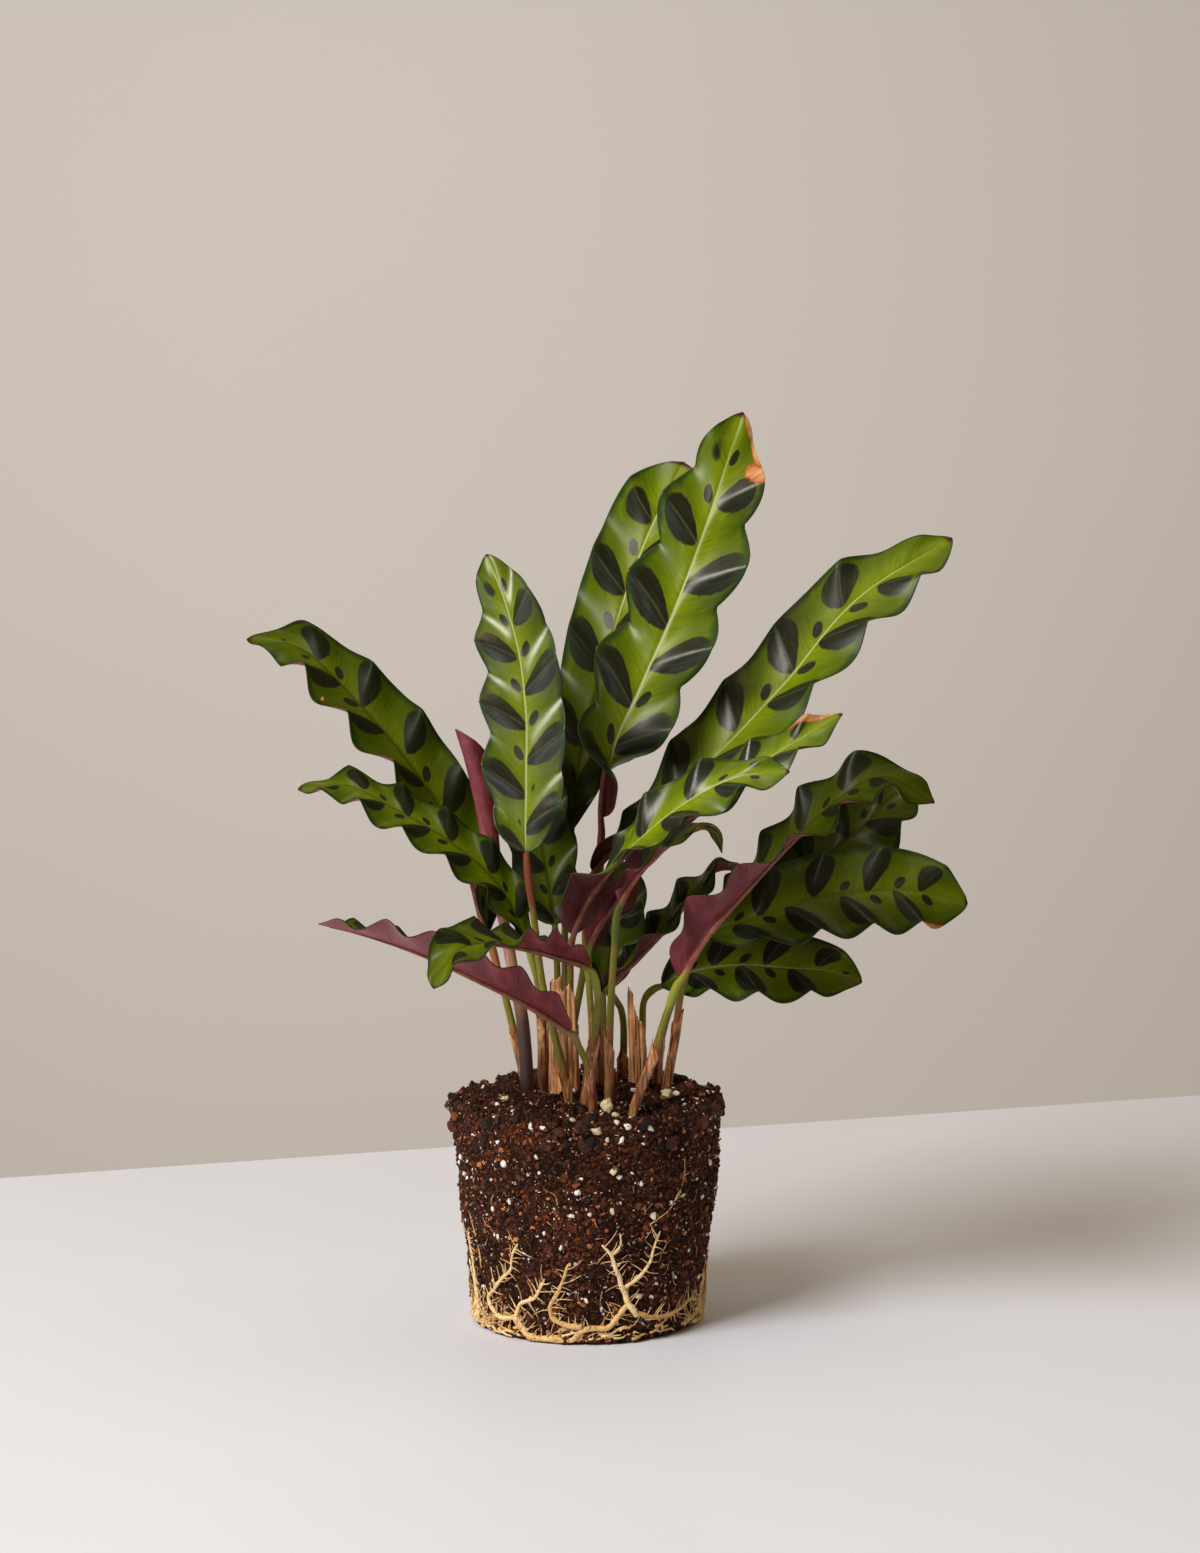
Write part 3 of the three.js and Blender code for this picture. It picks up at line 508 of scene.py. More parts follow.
scatter("peat_crumbs", soil_skin, chips, density=440000.0, smallest=0.0002, largest=0.00095,
        flatness=0.7, sink=0.1, distortion=0.001, seed=6, material=crumb_paint)
scatter("peat_fibres", soil_skin, fibres, density=26000.0, smallest=0.0006, largest=0.0024,
        flatness=1.0, sink=-0.1, lean=1.45, distortion=0.0014, seed=8, material=bark_paint)
scatter("bark_chips", soil_skin, chips, density=16000.0, smallest=0.0004, largest=0.0019,
        flatness=0.35, sink=0.1, distortion=0.0008, seed=9, material=bark_paint)
scatter("perlite", soil_skin, beads, density=24000.0, smallest=0.0001, largest=0.0016,
        flatness=0.85, sink=-0.1, distortion=0.0018, seed=2, material=perlite_paint)
scatter("perlite_dust", soil_skin, chips, density=125000.0, smallest=0.00014, largest=0.0007,
        flatness=0.85, sink=-0.6, distortion=0.0005, seed=21, material=perlite_paint)
scatter("foot_clods", foot_skin, clumps, density=42000.0, smallest=0.0007, largest=0.0028,
        flatness=0.8, sink=0.1, distortion=0.0026, seed=17, material=crumb_paint)

# Large cream grains on the soil's top. A few weathered grains of perlite and pumice that the
# watering has washed free lie between the stalks. Each has its centre and its half sizes in mm.
CREAM_GRAINS = [((7.6, -40, 87.5), (1.7, 1.7, 2.9)), ((6.0, -45, 85), (1.6, 1.3, 1.2)),
                ((10.5, -45, 85.5), (1.1, 1.0, 1.0)), ((3.6, -50, 81), (1.8, 1.5, 1.3)),
                ((29.5, -14, 87.5), (2.2, 1.8, 1.7)), ((23, 26, 87), (1.4, 1.2, 1.2)),
                ((-14, 22, 87), (1.6, 1.5, 1.3)), ((-30, -14, 85.5), (1.4, 1.2, 1.0)),
                ((-21, -27, 85), (1.2, 1.1, 0.9)), ((14, 38, 88), (1.7, 1.4, 1.3))]
GRAIN_ROWS = 9
GRAIN_COLUMNS = 14
grains = []
for index, (centre, size) in enumerate(CREAM_GRAINS):
    grain = []
    for i in range(GRAIN_ROWS + 1):
        rise = math.pi * i / GRAIN_ROWS
        ring = []
        for k in range(GRAIN_COLUMNS if 0 < i < GRAIN_ROWS else 1):
            turn = 2 * math.pi * k / GRAIN_COLUMNS
            spot = Vector((math.sin(rise) * math.cos(turn), math.sin(rise) * math.sin(turn),
                           -math.cos(rise)))
            swell = 1 + 0.8 * noise.noise(spot * 1.5 + Vector((index * 5, 2, 1))) \
                + 0.4 * noise.noise(spot * 3.6 + Vector((index, 8, 3)))
            ring.append([centre[j] + spot[j] * size[j] * swell for j in range(3)])
        grain.append(ring)
    grains.append(grain)
cream_mesh = grid_mesh("cream_grains", *grains)
cream_mesh.shade_smooth()
cream_paint, at, feed = new_material("cream_grain", roughness=0.6)
pits = speckle(at, 1100, 4, 0.65)
stain = speckle(at, 420, 3, 0.6)
cream = blend(smooth(stain, 0.5, 0.75), tint(242, 228, 180), tint(200, 162, 98))
feed(base_color=blend(smooth(pits, 0.6, 0.75) * 0.6, cream, tint(110, 84, 56)),
     normal=relief(pits, 0.0007, 0.8))
cream_piece = add_object("cream_grains", cream_mesh, cream_paint)
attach(cream_piece, "root")

# Roots. Fleshy cream roots have circled the foot of the pot and climb its side in combs of short
# rootlets, thinning to hairs; they cling half sunk in the soil's skin.
ROOT_STEP = 1.1
ROOT_DRAW = 12
MM_PER_DEGREE = 0.78
LINE_STEPS = 60
# A direction that no root and no stalk runs along
ASKEW = (0.31, 0.22, 0.93)
# Each root as (degrees round from the front, height in mm) points, with its radius in mm at both ends
FRONT_ROOTS = [
    ([(-72, 3.6), (-64, 1.8), (-57, 3.4), (-49, 1.4), (-42, 3.0), (-34, 1.6)], 0.75, 0.5),
    ([(-36, 8.8), (-45, 7.4), (-52, 9.8), (-55, 13.5), (-50, 17), (-44, 22), (-37, 27), (-36, 31.5),
      (-32, 37)], 1.05, 0.45),
    ([(-30, 2.6), (-35, 9), (-33, 13.8), (-25, 17), (-22, 20.4), (-19, 25)], 1.1, 0.5),
    ([(-2, 7), (-9, 7.4), (-16, 9.6), (-17, 14.5), (-13, 20), (-10, 26), (-8, 31)], 1.15, 0.5),
    ([(25, 10.5), (20, 15.7), (17, 22), (14, 28), (11.5, 33.8), (7, 38)], 1.35, 0.5),
    ([(18.6, 21.5), (24.5, 24.3), (31, 30), (33, 35), (36, 41)], 0.8, 0.35),
    ([(24, 11.5), (35, 8.6), (48, 9), (63, 11.5), (72, 10)], 1.0, 0.7),
    ([(-36, 8.8), (-30, 2.6), (-17, 1.8), (-7, 1.9), (-1, 6), (11, 7), (15, 10.6), (20, 15)], 1.15, 1.0),
    ([(11.5, 33.8), (16, 38), (15, 42)], 0.5, 0.25),
    ([(-60, 24), (-61, 32), (-66, 44)], 0.35, 0.15),
    ([(43, 52), (47, 60), (46, 68)], 0.25, 0.12),
    ([(30, 44), (40, 49), (44, 55)], 0.25, 0.12),
]


def on_ball(angle, height, lift):
    """Point on the ball's side, `angle` degrees round from the front, in mm."""
    turn = math.radians(angle - 90)
    radius = ball_radius(turn, height) + lift
    return np.array((radius * math.cos(turn), radius * math.sin(turn), height))


def smooth_line(points):
    """Smooth line through points, LINE_STEPS steps from each to the next, and the length up to each step."""
    p = np.array(points, float)
    p = np.vstack([2 * p[0] - p[1], p, 2 * p[-1] - p[-2]])
    line = []
    t = np.linspace(0, 1, LINE_STEPS, endpoint=False)[:, None]
    for a, b, c, d in zip(p, p[1:], p[2:], p[3:]):
        ab, bc, cd = (max(np.linalg.norm(q - r), 1e-6) ** 0.5 for q, r in ((b, a), (c, b), (d, c)))
        leave = ((b - a) / ab - (c - a) / (ab + bc) + (c - b) / bc) * bc
        arrive = ((c - b) / bc - (d - b) / (bc + cd) + (d - c) / cd) * bc
        line.append(b + leave * t + (3 * (c - b) - 2 * leave - arrive) * t ** 2
                    + (2 * (b - c) + leave + arrive) * t ** 3)
    line = np.vstack([*line, p[-2]])
    lengths = np.concatenate([[0], np.cumsum(np.linalg.norm(np.diff(line, axis=0), axis=1))])
    return line, lengths


def along(line, lengths, distances):
    """Points at the given distances along a line."""
    return np.stack([np.interp(distances, lengths, line[:, k]) for k in range(3)], -1)


def carry(mesh, name, values):
    """Gives each point of a mesh a number, a vector or a colour of four numbers for its material to read."""
    size = len(values[0]) if np.ndim(values) > 1 else 1
    kind, field = {1: ("FLOAT", "value"), 3: ("FLOAT_VECTOR", "vector"), 4: ("FLOAT_COLOR", "color")}[size]
    mesh.attributes.new(name, kind, "POINT").data.foreach_set(field, np.ravel(values))


def tube(line, side, up, radii, sides, start):
    """Rings of points round a line, and the faces of the closed tube that starts at point `start`."""
    turn = np.linspace(0, 2 * math.pi, sides, endpoint=False)
    ring = np.cos(turn)[None, :, None] * side[:, None] + np.sin(turn)[None, :, None] * up[:, None]
    ring = line[:, None] + ring * np.asarray(radii)[:, None, None]
    rows = len(line)
    faces = []
    for i in range(rows - 1):
        for k in range(sides):
            n = (k + 1) % sides
            a, b = start + i * sides, start + (i + 1) * sides
            faces.append((a + k, b + k, b + n, a + n))
    faces.append(tuple(start + k for k in range(sides)))
    faces.append(tuple(start + (rows - 1) * sides + k for k in reversed(range(sides))))
    return ring, faces


class TubeMesh:
    """Collects round tubes, closed at both ends, for one mesh. Sizes in mm."""

    def __init__(self):
        self.points = []
        self.faces = []
        self.marks = []

    def add(self, line, radii, sides, mark=0.0):
        line = np.asarray(line, float)
        tangent = np.gradient(line, axis=0)
        tangent /= np.linalg.norm(tangent, axis=1)[:, None] + 1e-9
        side = np.cross(tangent, ASKEW)
        side /= np.linalg.norm(side, axis=1)[:, None] + 1e-9
        ring, faces = tube(line, side, np.cross(side, tangent), radii, sides, len(self.points))
        self.points.extend((ring.reshape(-1, 3) * MM).tolist())
        self.faces.extend(faces)
        self.marks.extend([mark] * (len(line) * sides))

    def build(self, name):
        mesh = new_mesh(name, self.points, self.faces)
        carry(mesh, "mark", self.marks)
        mesh.shade_smooth()
        return mesh


draw = random.Random(ROOT_DRAW)
roots = TubeMesh()


def lay_root(stops, thick, thin, sides=8, lift=0.55):
    """A root through (degrees, height) stops on the ball's side; returns its line in the same terms."""
    flat, lengths = smooth_line([(a * MM_PER_DEGREE, h, 0) for a, h in stops])
    count = max(int(lengths[-1] / ROOT_STEP), 4)
    spots = along(flat, lengths, np.linspace(0, lengths[-1], count))
    track = [(x / MM_PER_DEGREE, max(h, 0.9)) for x, h, _ in spots]
    line = []
    radii = []
    phase = draw.random() * 50
    for i, (angle, height) in enumerate(track):
        share = i / (count - 1)
        radius = thick + (thin - thick) * share
        radius *= 1 + 0.22 * noise.noise(Vector((i * 0.45, phase, 0)))
        wander = 0.35 * noise.noise(Vector((i * 0.3, phase, 5)))
        line.append(on_ball(angle + wander * 1.2, max(height + wander, radius * 0.95), lift * radius + 0.15))
        radii.append(radius)
    radii[-1] *= 0.5
    roots.add(line, radii, sides, draw.random())
    return track


def lay_rootlets(track, longest, spacing, radius):
    """A comb of short rootlets on both sides of a root."""
    hand = 1
    place = 2.0
    while place < len(track) - 1:
        i = int(place)
        angle, height = track[i]
        ahead = np.array(track[min(i + 1, len(track) - 1)]) - np.array(track[max(i - 1, 0)])
        ahead = ahead * (MM_PER_DEGREE, 1)
        ahead /= np.linalg.norm(ahead) + 1e-9
        out = np.array((ahead[1], -ahead[0])) * hand
        reach = longest * draw.uniform(0.35, 1.0)
        lean = draw.uniform(-0.1, 0.75)
        curl = draw.uniform(-0.45, 0.45)
        stops = [(angle, height)]
        for step in (0.35, 0.7, 1.0):
            turn = lean + curl * step
            way = out * math.cos(turn) + ahead * math.sin(turn)
            spot = np.array((angle * MM_PER_DEGREE, height)) + way * reach * step
            stops.append((spot[0] / MM_PER_DEGREE, spot[1]))
        if min(h for _, h in stops) > 0.7:
            lay_root(stops, radius * draw.uniform(0.7, 1.2), radius * 0.4, 5, 2.4)
        hand = -hand if draw.random() < 0.8 else hand
        place += spacing * draw.uniform(0.5, 1.4)


def climb(start, low, lean, reach, shares):
    """Stops of a root that leaves (start, low) and rises by `reach`, wavering a little."""
    return [(start + lean * s + draw.uniform(-2.2, 2.2), low + reach * s) for s in shares]


for stops, thick, thin in FRONT_ROOTS:
    track = lay_root(stops, thick, thin)
    if thick > 0.6:
        lay_rootlets(track, 8.0, 1.25, 0.26)
    else:
        lay_rootlets(track, 2.5, 2.5, 0.14)
# Two roots that circle the foot behind, and others that climb from them, by the degrees they start at
BACK_ROOTS = (78, 97, 117, 141, 158, 182, 201, 224, 243, 262, 286, -66)
ring_stops = [(float(a), 2.0 + 0.9 * math.sin(math.radians(3 * a)) + 0.5 * math.sin(math.radians(7 * a)))
              for a in range(68, 296, 8)]
lay_rootlets(lay_root(ring_stops, 0.95, 0.8), 4.0, 1.6, 0.24)
ring_stops = [(float(a), 4.4 + 1.5 * math.sin(math.radians(4 * a + 60))) for a in range(56, 306, 9)]
lay_rootlets(lay_root(ring_stops, 0.55, 0.4), 3.4, 2.2, 0.18)
for start in BACK_ROOTS:
    reach = draw.uniform(15, 38)
    lean = draw.uniform(-14, 14)
    stops = climb(start, 3, lean, reach, (0, 0.25, 0.5, 0.75, 1))
    lay_rootlets(lay_root(stops, draw.uniform(0.8, 1.2), 0.4), 5.0, 0.95, 0.26)

# Fine root mats at the left and right of the foot and behind, and single hairs all round. Each mat has
# its middle and its spread in degrees, how high its roots reach in mm, and how many there are.
ROOT_MATS = [(-68, 12, 13, 30), (70, 12, 11, 26), (150, 45, 16, 110), (235, 45, 18, 110)]
HAIRS = 190
for middle, spread, top, count in ROOT_MATS:
    for _ in range(count):
        start = middle + draw.gauss(0, spread * 0.55)
        low = draw.uniform(1, 8)
        reach = draw.uniform(4, top)
        lean = draw.gauss(0, 17)
        stops = climb(start, low, lean, reach, (0, 0.35, 0.7, 1))
        lay_root(stops, draw.uniform(0.1, 0.32), 0.09, 4, draw.uniform(0.5, 4.0))
for _ in range(HAIRS):
    start = draw.uniform(0, 360)
    low = draw.triangular(1, 66, 5)
    reach = draw.uniform(2, 7)
    turn = draw.uniform(0, 6.28)
    bend = draw.uniform(-1.2, 1.2)
    stops = [(start, low)]
    for s in (0.4, 0.75, 1.0):
        way = turn + bend * s
        stops.append((start + reach * s * math.cos(way), low + reach * s * math.sin(way)))
    if min(h for _, h in stops) > 1 and max(h for _, h in stops) < 80:
        lay_root(stops, draw.uniform(0.09, 0.16), 0.06, 4, draw.uniform(0.5, 4.0))

# Short strands that have run together into a lumpy fringe low on the foot
FRINGE_STRANDS = 110
for _ in range(FRINGE_STRANDS):
    start = draw.uniform(-76, 284)
    low = draw.uniform(1.0, 5.5)
    reach = draw.uniform(3, 11)
    rise = draw.uniform(-2.5, 3.5)
    stops = [(start + reach * s, max(low + rise * s + draw.uniform(-0.7, 0.7), 0.8))
             for s in (0, 0.35, 0.7, 1)]
    lay_root(stops, draw.uniform(0.3, 0.75), draw.uniform(0.2, 0.4), 6, draw.uniform(0.3, 1.2))

root_paint, at, feed = new_material("cream_roots", roughness=0.6, specular_ior_level=0.3)
skin = speckle(at, 420, 4, 0.6)
fleece = speckle(at, 2600, 3, 0.6)
flesh = ramp(carried(at, "mark"), (0.0, 216, 170, 106), (0.5, 242, 202, 138), (1.0, 255, 228, 176))
flesh = blend(smooth(skin, 0.5, 0.75) * 0.8, flesh, tint(168, 112, 60))
flesh = blend(smooth(skin, 0.42, 0.25) * 0.6, flesh, tint(252, 234, 192))
soiled = smooth(speckle(at, 900, 3, 0.6) + smooth(part(at, 2), 0.03, 0.002) * 0.06, 0.62, 0.7)
feed(base_color=blend(soiled * 0.85, flesh, tint(60, 36, 25)), normal=relief(fleece, 0.0003, 0.6))
root_piece = add_object("roots", roots.build("roots"), root_paint)
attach(root_piece, "root")
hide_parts("root_net")

# Leaves. Each is one growth: a stalk that leaves the soil in a brown fibrous sheath, a swollen knee,
# and a long wavy blade, green with dark ovals along its side veins above and wine red beneath.
FOOT_HEIGHT = BALL_HEIGHT - 7.5
STALK_FOOT_RADIUS = 1.6
STALK_TOP_RADIUS = 1.15
STALK_ROWS = 46
STALK_SIDES = 14
KNEE_START = 0.8
KNEE_SWELL = 0.35
RIB_ROWS = 60
RIB_REACH = 0.96
RIB_GAP = 0.25
GROOVE_DEPTH = 0.25
GROOVE_HALF_WIDTH = 0.9
BLADE_HALF_THICKNESS = 0.2
VEIN_SWEEP = 0.42
PLEAT = 0.6
FOLDS_TO_A_WAVE = 13
UPPER = 0
UNDER = 1
STALK = 2
LEAF_DRAW = 100
CELLS_APART = 40
RED_KNEE = (118, 62, 44)
YELLOW_KNEE = (142, 144, 44)
GREEN_KNEE = (120, 122, 34)
# Each leaf: points of its stalk and midrib in mm; the way its upper side faces, from knee to tip; half its
# width in mm and where it is widest; how steeply its halves fold up; how many waves it has, how far they
# swing in mm and where they begin; how sharp the waves are (crease); how the margin follows them (scallop,
# lobes); how blunt its ends are (base, tip); how dark the upper side is painted (tone, 1 for none), mostly
# painted shade where the leaf or a part of it stands in the shadow of other leaves and partly the darker
# green of older leaves; how much it shines; the painted shade and painted sheen of the lower side (below 1
# painted shade where it stands in shadow, past 1 a painted dusty rose sheen towards the tip); the knee's
# colour; how high the sheath's husk reaches; dry spots, each as its place along and across and its half
# sizes.
LEAVES = [
    dict(name="leaf_left_high", stalk=[[-22.5, 6.5, 84], [-27, 7, 106], [-32, 8, 126]],
         blade=[[-37, 10, 144], [-46, 20, 173], [-64, 28, 202], [-87, 40, 228], [-110, 52, 248],
                [-131, 60, 251]],
         face=[[0.8, -0.2, 0.4], [0.6, -0.65, 0.5], [0.5, -0.75, 0.55], [0.3, -0.8, 0.6]],
         half=17, widest=0.52, fold=[0.5, 0.25], waves=6, swing=3.1, lead=0, crease=0.5, scallop=0.13,
         tip=2.0,
         tone=0.3, gloss=0.05, knee=(150, 96, 52), sheath=108,
         dry=[(0.7, -0.8, 0.004, 0.04), (0.9, 0.5, 0.003, 0.05)]),
    dict(name="leaf_left_mid", stalk=[[-16.8, 2, 84], [-16.5, 0, 105], [-18, -6, 127]],
         blade=[[-22, -12, 143], [-32, -14, 165], [-50, -13, 181], [-69, -9, 192], [-89, -3, 201],
                [-107, 2, 199]],
         face=[[0.6, -0.75, 0.3], [0.35, -0.85, 0.45], [0.2, -0.8, 0.6], [0.1, -0.7, 0.7]],
         half=9.5, widest=0.36, fold=[0.4, 0.1], waves=6, swing=3.2, lead=0.25,
         tone=0.42, gloss=0.08, knee=YELLOW_KNEE, sheath=116),
    dict(name="leaf_low_left", stalk=[[2.5, -31, 84], [0.5, -34, 101], [-3, -38, 110]],
         blade=[[-6, -43, 116], [-19, -48, 126], [-39, -54, 137], [-59, -60, 147], [-77, -66, 154],
                [-94, -71, 159]],
         face=[[0.5, 0.3, 0.8], [0.3, 0.3, 0.9], [0.2, 0.25, 0.9]],
         half=11.5, widest=0.35, fold=[0.9, 0.5], waves=6, swing=2.0, lead=0, crease=0.1, tip=2.4,
         tone=0.5, wine=1.5, gloss=0.2, knee=(136, 116, 72), sheath=101),
    dict(name="leaf_front_drooping", stalk=[[-1, -25, 84], [3, -28, 110], [4, -31, 128]],
         blade=[[1, -35, 138], [-11, -44, 144], [-24, -57, 149], [-37, -72, 152], [-46, -82, 150],
                [-53, -90, 139]],
         face=[[0.2, 0.3, 0.9], [0.0, 0.15, 1], [-0.3, -0.7, 0.7], [-0.5, -0.8, 0.3]],
         half=12, widest=0.6, fold=[0.8, 0.15], waves=5, swing=2.2, lead=0.25, crease=0.3, tip=2.2,
         tone=0.5, gloss=0.25, knee=YELLOW_KNEE, sheath=109),
    dict(name="leaf_front_upright", stalk=[[-6, -19, 84], [-10, -19, 103], [-16, -21, 129], [-19, -22, 153]],
         blade=[[-22, -22, 178], [-22, -21, 203], [-22, -17, 228], [-25, -12, 252], [-31, -6, 272],
                [-37, 0, 286]],
         face=[[-0.1, -1, 0.1], [-0.2, -0.95, 0.15], [-0.3, -0.9, 0.35]],
         half=14.8, widest=0.4, fold=[0.3, 0.1], waves=4.5, swing=3.4, lead=0.5, base=3.4, scallop=0,
         lobes=0.08, crease=0.5,
         tone=0.88, gloss=1.0, knee=RED_KNEE, sheath=99),
    dict(name="leaf_tall_back", stalk=[[-6, 24, 86], [-8, 26, 116], [-8, 26, 154]],
         blade=[[-6, 27, 181], [-2, 31, 209], [5, 35, 237], [14, 43, 267], [24, 51, 293], [37, 61, 319]],
         face=[[-0.3, -0.9, 0.2], [-0.35, -0.9, 0.3], [-0.2, -0.9, 0.4]],
         half=18, widest=0.7, fold=[0.3, 0.1], waves=5, swing=3.6, lead=0.25, tip=4.5,
         tone=[0, 0.1, 0.5, 0.85, 0.9, 0.9], gloss=0.22, knee=RED_KNEE, sheath=122),
    dict(name="leaf_tallest", stalk=[[5.5, 20, 86], [5, 21, 117], [5, 20, 155]],
         blade=[[6, 14, 187], [10, 11, 213], [20, 14, 236], [33, 21, 265], [46, 30, 299], [59, 42, 338]],
         face=[[0.7, 0.6, 0.2], [-0.05, -0.9, 0.3], [-0.05, -0.9, 0.4], [0.05, -0.9, 0.45],
               [0.15, -0.9, 0.5]],
         half=17.5, widest=0.6, fold=[0.3, 0.05], waves=5, swing=4.0, lead=0, scallop=0, lobes=0.19,
         base=3.6, tip=2.5,
         tone=1.0, wine=0.6, gloss=0.5, knee=RED_KNEE, sheath=118,
         dry=[(0.865, 0.86, 0.022, 0.3), (0.93, 1.0, 0.05, 0.16), (0.975, 0.9, 0.03, 0.4)]),
    dict(name="leaf_long_right", stalk=[[-4.5, 11, 85], [-5.5, 10, 103], [-1, 7, 132]],
         blade=[[2, 4, 168], [20, 6, 185], [45, 13, 207], [74, 25, 236], [102, 40, 267], [140, 58, 290]],
         face=[[-0.7, 0.3, 0.6], [-0.5, -0.65, 0.5], [-0.45, -0.72, 0.55], [-0.35, -0.72, 0.6]],
         half=19, widest=0.6, fold=[0.4, 0.1], waves=6, swing=3.0, lead=0, base=3.0,
         tone=[0.3, 0.7, 0.85, 0.85, 0.85], wine=0.5, gloss=0.35, knee=RED_KNEE, sheath=112),
    dict(name="leaf_right_bright", stalk=[[-6.5, 1.5, 84], [-6, 0.5, 109], [-6, -1, 130]],
         blade=[[-5, -9, 146], [2, -20, 164], [17, -31, 182], [37, -38, 199], [55, -41, 208],
                [73, -42, 210]],
         face=[[-0.1, 0.75, 0.5], [-0.5, 0.2, 0.8], [-0.35, -0.6, 0.8], [-0.3, -0.65, 0.7],
               [-0.2, -0.65, 0.7]],
         half=13, widest=0.5, fold=[0.4, 0.1], waves=5, swing=3.0, lead=0, base=4.5,
         tone=1.0, wine=0.55, gloss=0.6, knee=(136, 84, 52), sheath=118),
    dict(name="leaf_right_yellow", stalk=[[1.5, -6, 84], [2, -4, 110], [1, -3, 126]],
         blade=[[1, -2, 139], [9, -5, 156], [27, -13, 179], [50, -16, 200], [73, -14, 216], [94, -8, 228]],
         face=[[0.2, 0.8, 0.4], [-0.5, 0.2, 0.8], [-0.35, -0.6, 0.8], [-0.35, -0.65, 0.65]],
         half=12, widest=0.5, fold=[0.4, 0.1], waves=6, swing=2.8, lead=0.25,
         tone=1.0, wine=0.5, gloss=0.7, knee=GREEN_KNEE, sheath=114, dry=[(0.95, -0.95, 0.09, 0.42)]),
    dict(name="leaf_thin_curled", stalk=[[8.5, -11, 84], [8.5, -13, 107], [10, -22, 139]],
         blade=[[12, -33, 161], [17, -45, 172], [25, -57, 182], [36, -62, 190], [44, -67, 192],
                [48, -70, 184]],
         face=[[-0.3, 0.2, 0.9], [-0.4, -0.4, 0.9], [-0.2, -0.7, 0.7], [0.5, -0.7, 0.4]],
         half=3.8, widest=0.35, fold=[0.8, 0.6], waves=4, swing=1.4, lead=0,
         tone=0.0, gloss=0.2, knee=(86, 100, 34), sheath=112),
    dict(name="leaf_right_narrow", stalk=[[13, 26, 85], [14, 23, 99], [13, 15, 114]],
         blade=[[8, 5, 125], [18, 0, 136], [29, 2, 147], [39, 7, 158], [48, 14, 167], [57, 22, 169]],
         face=[[-0.5, 0.2, 0.8], [-0.6, -0.3, 0.7], [-0.5, -0.4, 0.8]],
         half=9.5, widest=0.45, fold=[0.5, 0.2], waves=4, swing=2.4, lead=0, crease=0.4,
         tone=0.45, wine=0.6, gloss=0.3, knee=GREEN_KNEE, sheath=98),
    dict(name="leaf_right_arching", stalk=[[17, -32, 83], [24, -34, 104], [29, -37, 121]],
         blade=[[34, -40, 135], [43, -43, 151], [58, -46, 169], [78, -49, 190], [104, -52, 209],
                [124, -54, 200]],
         face=[[-0.3, 0.6, 0.7], [-0.4, 0.1, 0.95], [-0.3, -0.45, 0.85], [-0.1, -0.5, 0.85]],
         half=16, widest=0.38, fold=[0.8, 0.3, 0.1], waves=6, swing=3.2, lead=0, crease=0.3,
         tone=0.08, wine=0.85, gloss=0.1, knee=YELLOW_KNEE, sheath=110),
    dict(name="leaf_right_dark", stalk=[[27, 21, 85], [28, 22, 101], [39, 22, 130]],
         blade=[[54, 23, 144], [69, 24, 157], [85, 26, 167], [100, 30, 178], [113, 34, 190], [124, 39, 200]],
         face=[[-0.4, -0.6, 0.7], [-0.3, -0.75, 0.6], [-0.2, -0.8, 0.6]],
         half=18, widest=0.5, fold=[0.3, 0.1], waves=5, swing=3.6, lead=0.25,
         tone=0.1, gloss=0.15, knee=GREEN_KNEE, sheath=104),
    dict(name="leaf_right_broad", stalk=[[30, 12, 84], [33, 10, 103], [36, 0, 126]],
         blade=[[44, -8, 145], [61, -9, 152], [81, -7, 158], [101, -4, 161], [122, 0, 161], [142, 4, 156]],
         face=[[-0.15, -0.7, 0.7], [-0.1, -0.75, 0.65], [0.0, -0.8, 0.6]],
         half=18.5, widest=0.5, fold=[0.2, 0.1], waves=5, swing=1.9, lead=0.25, tip=3.6,
         tone=0.66, gloss=0.35, knee=(132, 92, 60), sheath=118, dry=[(0.86, 0.99, 0.05, 0.13)]),
    dict(name="leaf_right_low", stalk=[[20, 21, 85], [21, 20, 105], [22, 17, 118]],
         blade=[[28, 12, 124], [42, 10, 130], [59, 9, 132], [76, 8, 131], [91, 7, 130], [103, 6, 126]],
         face=[[-0.3, -0.75, 0.7], [-0.2, -0.75, 0.7], [0.0, -0.7, 0.7]],
         half=15.5, widest=0.45, fold=[0.2, 0.1], waves=4, swing=1.4, lead=0.25, scallop=0.1,
         tone=1.0, gloss=0.3, knee=GREEN_KNEE, sheath=92),
    dict(name="leaf_centre_short", stalk=[[-10.5, 6.5, 84], [-11, 7, 110], [-11, 8, 130]],
         blade=[[-12, 9, 147], [-15, 12, 168], [-19, 16, 188], [-21, 20, 207], [-21, 24, 224]],
         face=[[-0.1, -0.95, 0.2], [0, -0.95, 0.3]],
         half=12.5, widest=0.4, fold=[0.3, 0.1], waves=4, swing=2.4, lead=0.25, base=4.0,
         tone=0.3, gloss=0.3, knee=GREEN_KNEE, sheath=126),
    dict(name="leaf_centre_small", stalk=[[9, 13, 85], [7, 13, 103]],
         blade=[[6, 13, 121], [9, 13, 135], [12, 14, 148], [14, 16, 160], [13, 19, 170]],
         face=[[-0.1, -0.95, 0.2], [0, -0.95, 0.3]],
         half=10, widest=0.45, fold=[0.3, 0.1], waves=3, swing=1.6, lead=0.25,
         tone=0.4, gloss=0.3, knee=GREEN_KNEE, sheath=100),
]
ROWS_PER_WAVE = 21
half_columns = np.array([0.025, 0.055, 0.1, 0.16, 0.24, 0.32, 0.4, 0.48, 0.56, 0.64, 0.72, 0.8, 0.87, 0.93,
                         0.975, 1.0])
COLUMNS = np.concatenate([-half_columns[::-1], [0], half_columns])


def mix_along(values, t):
    """Values that are spread evenly from 0 to 1, read at the places t."""
    values = np.array(values, float)
    return np.interp(t, np.linspace(0, 1, len(values)), values)


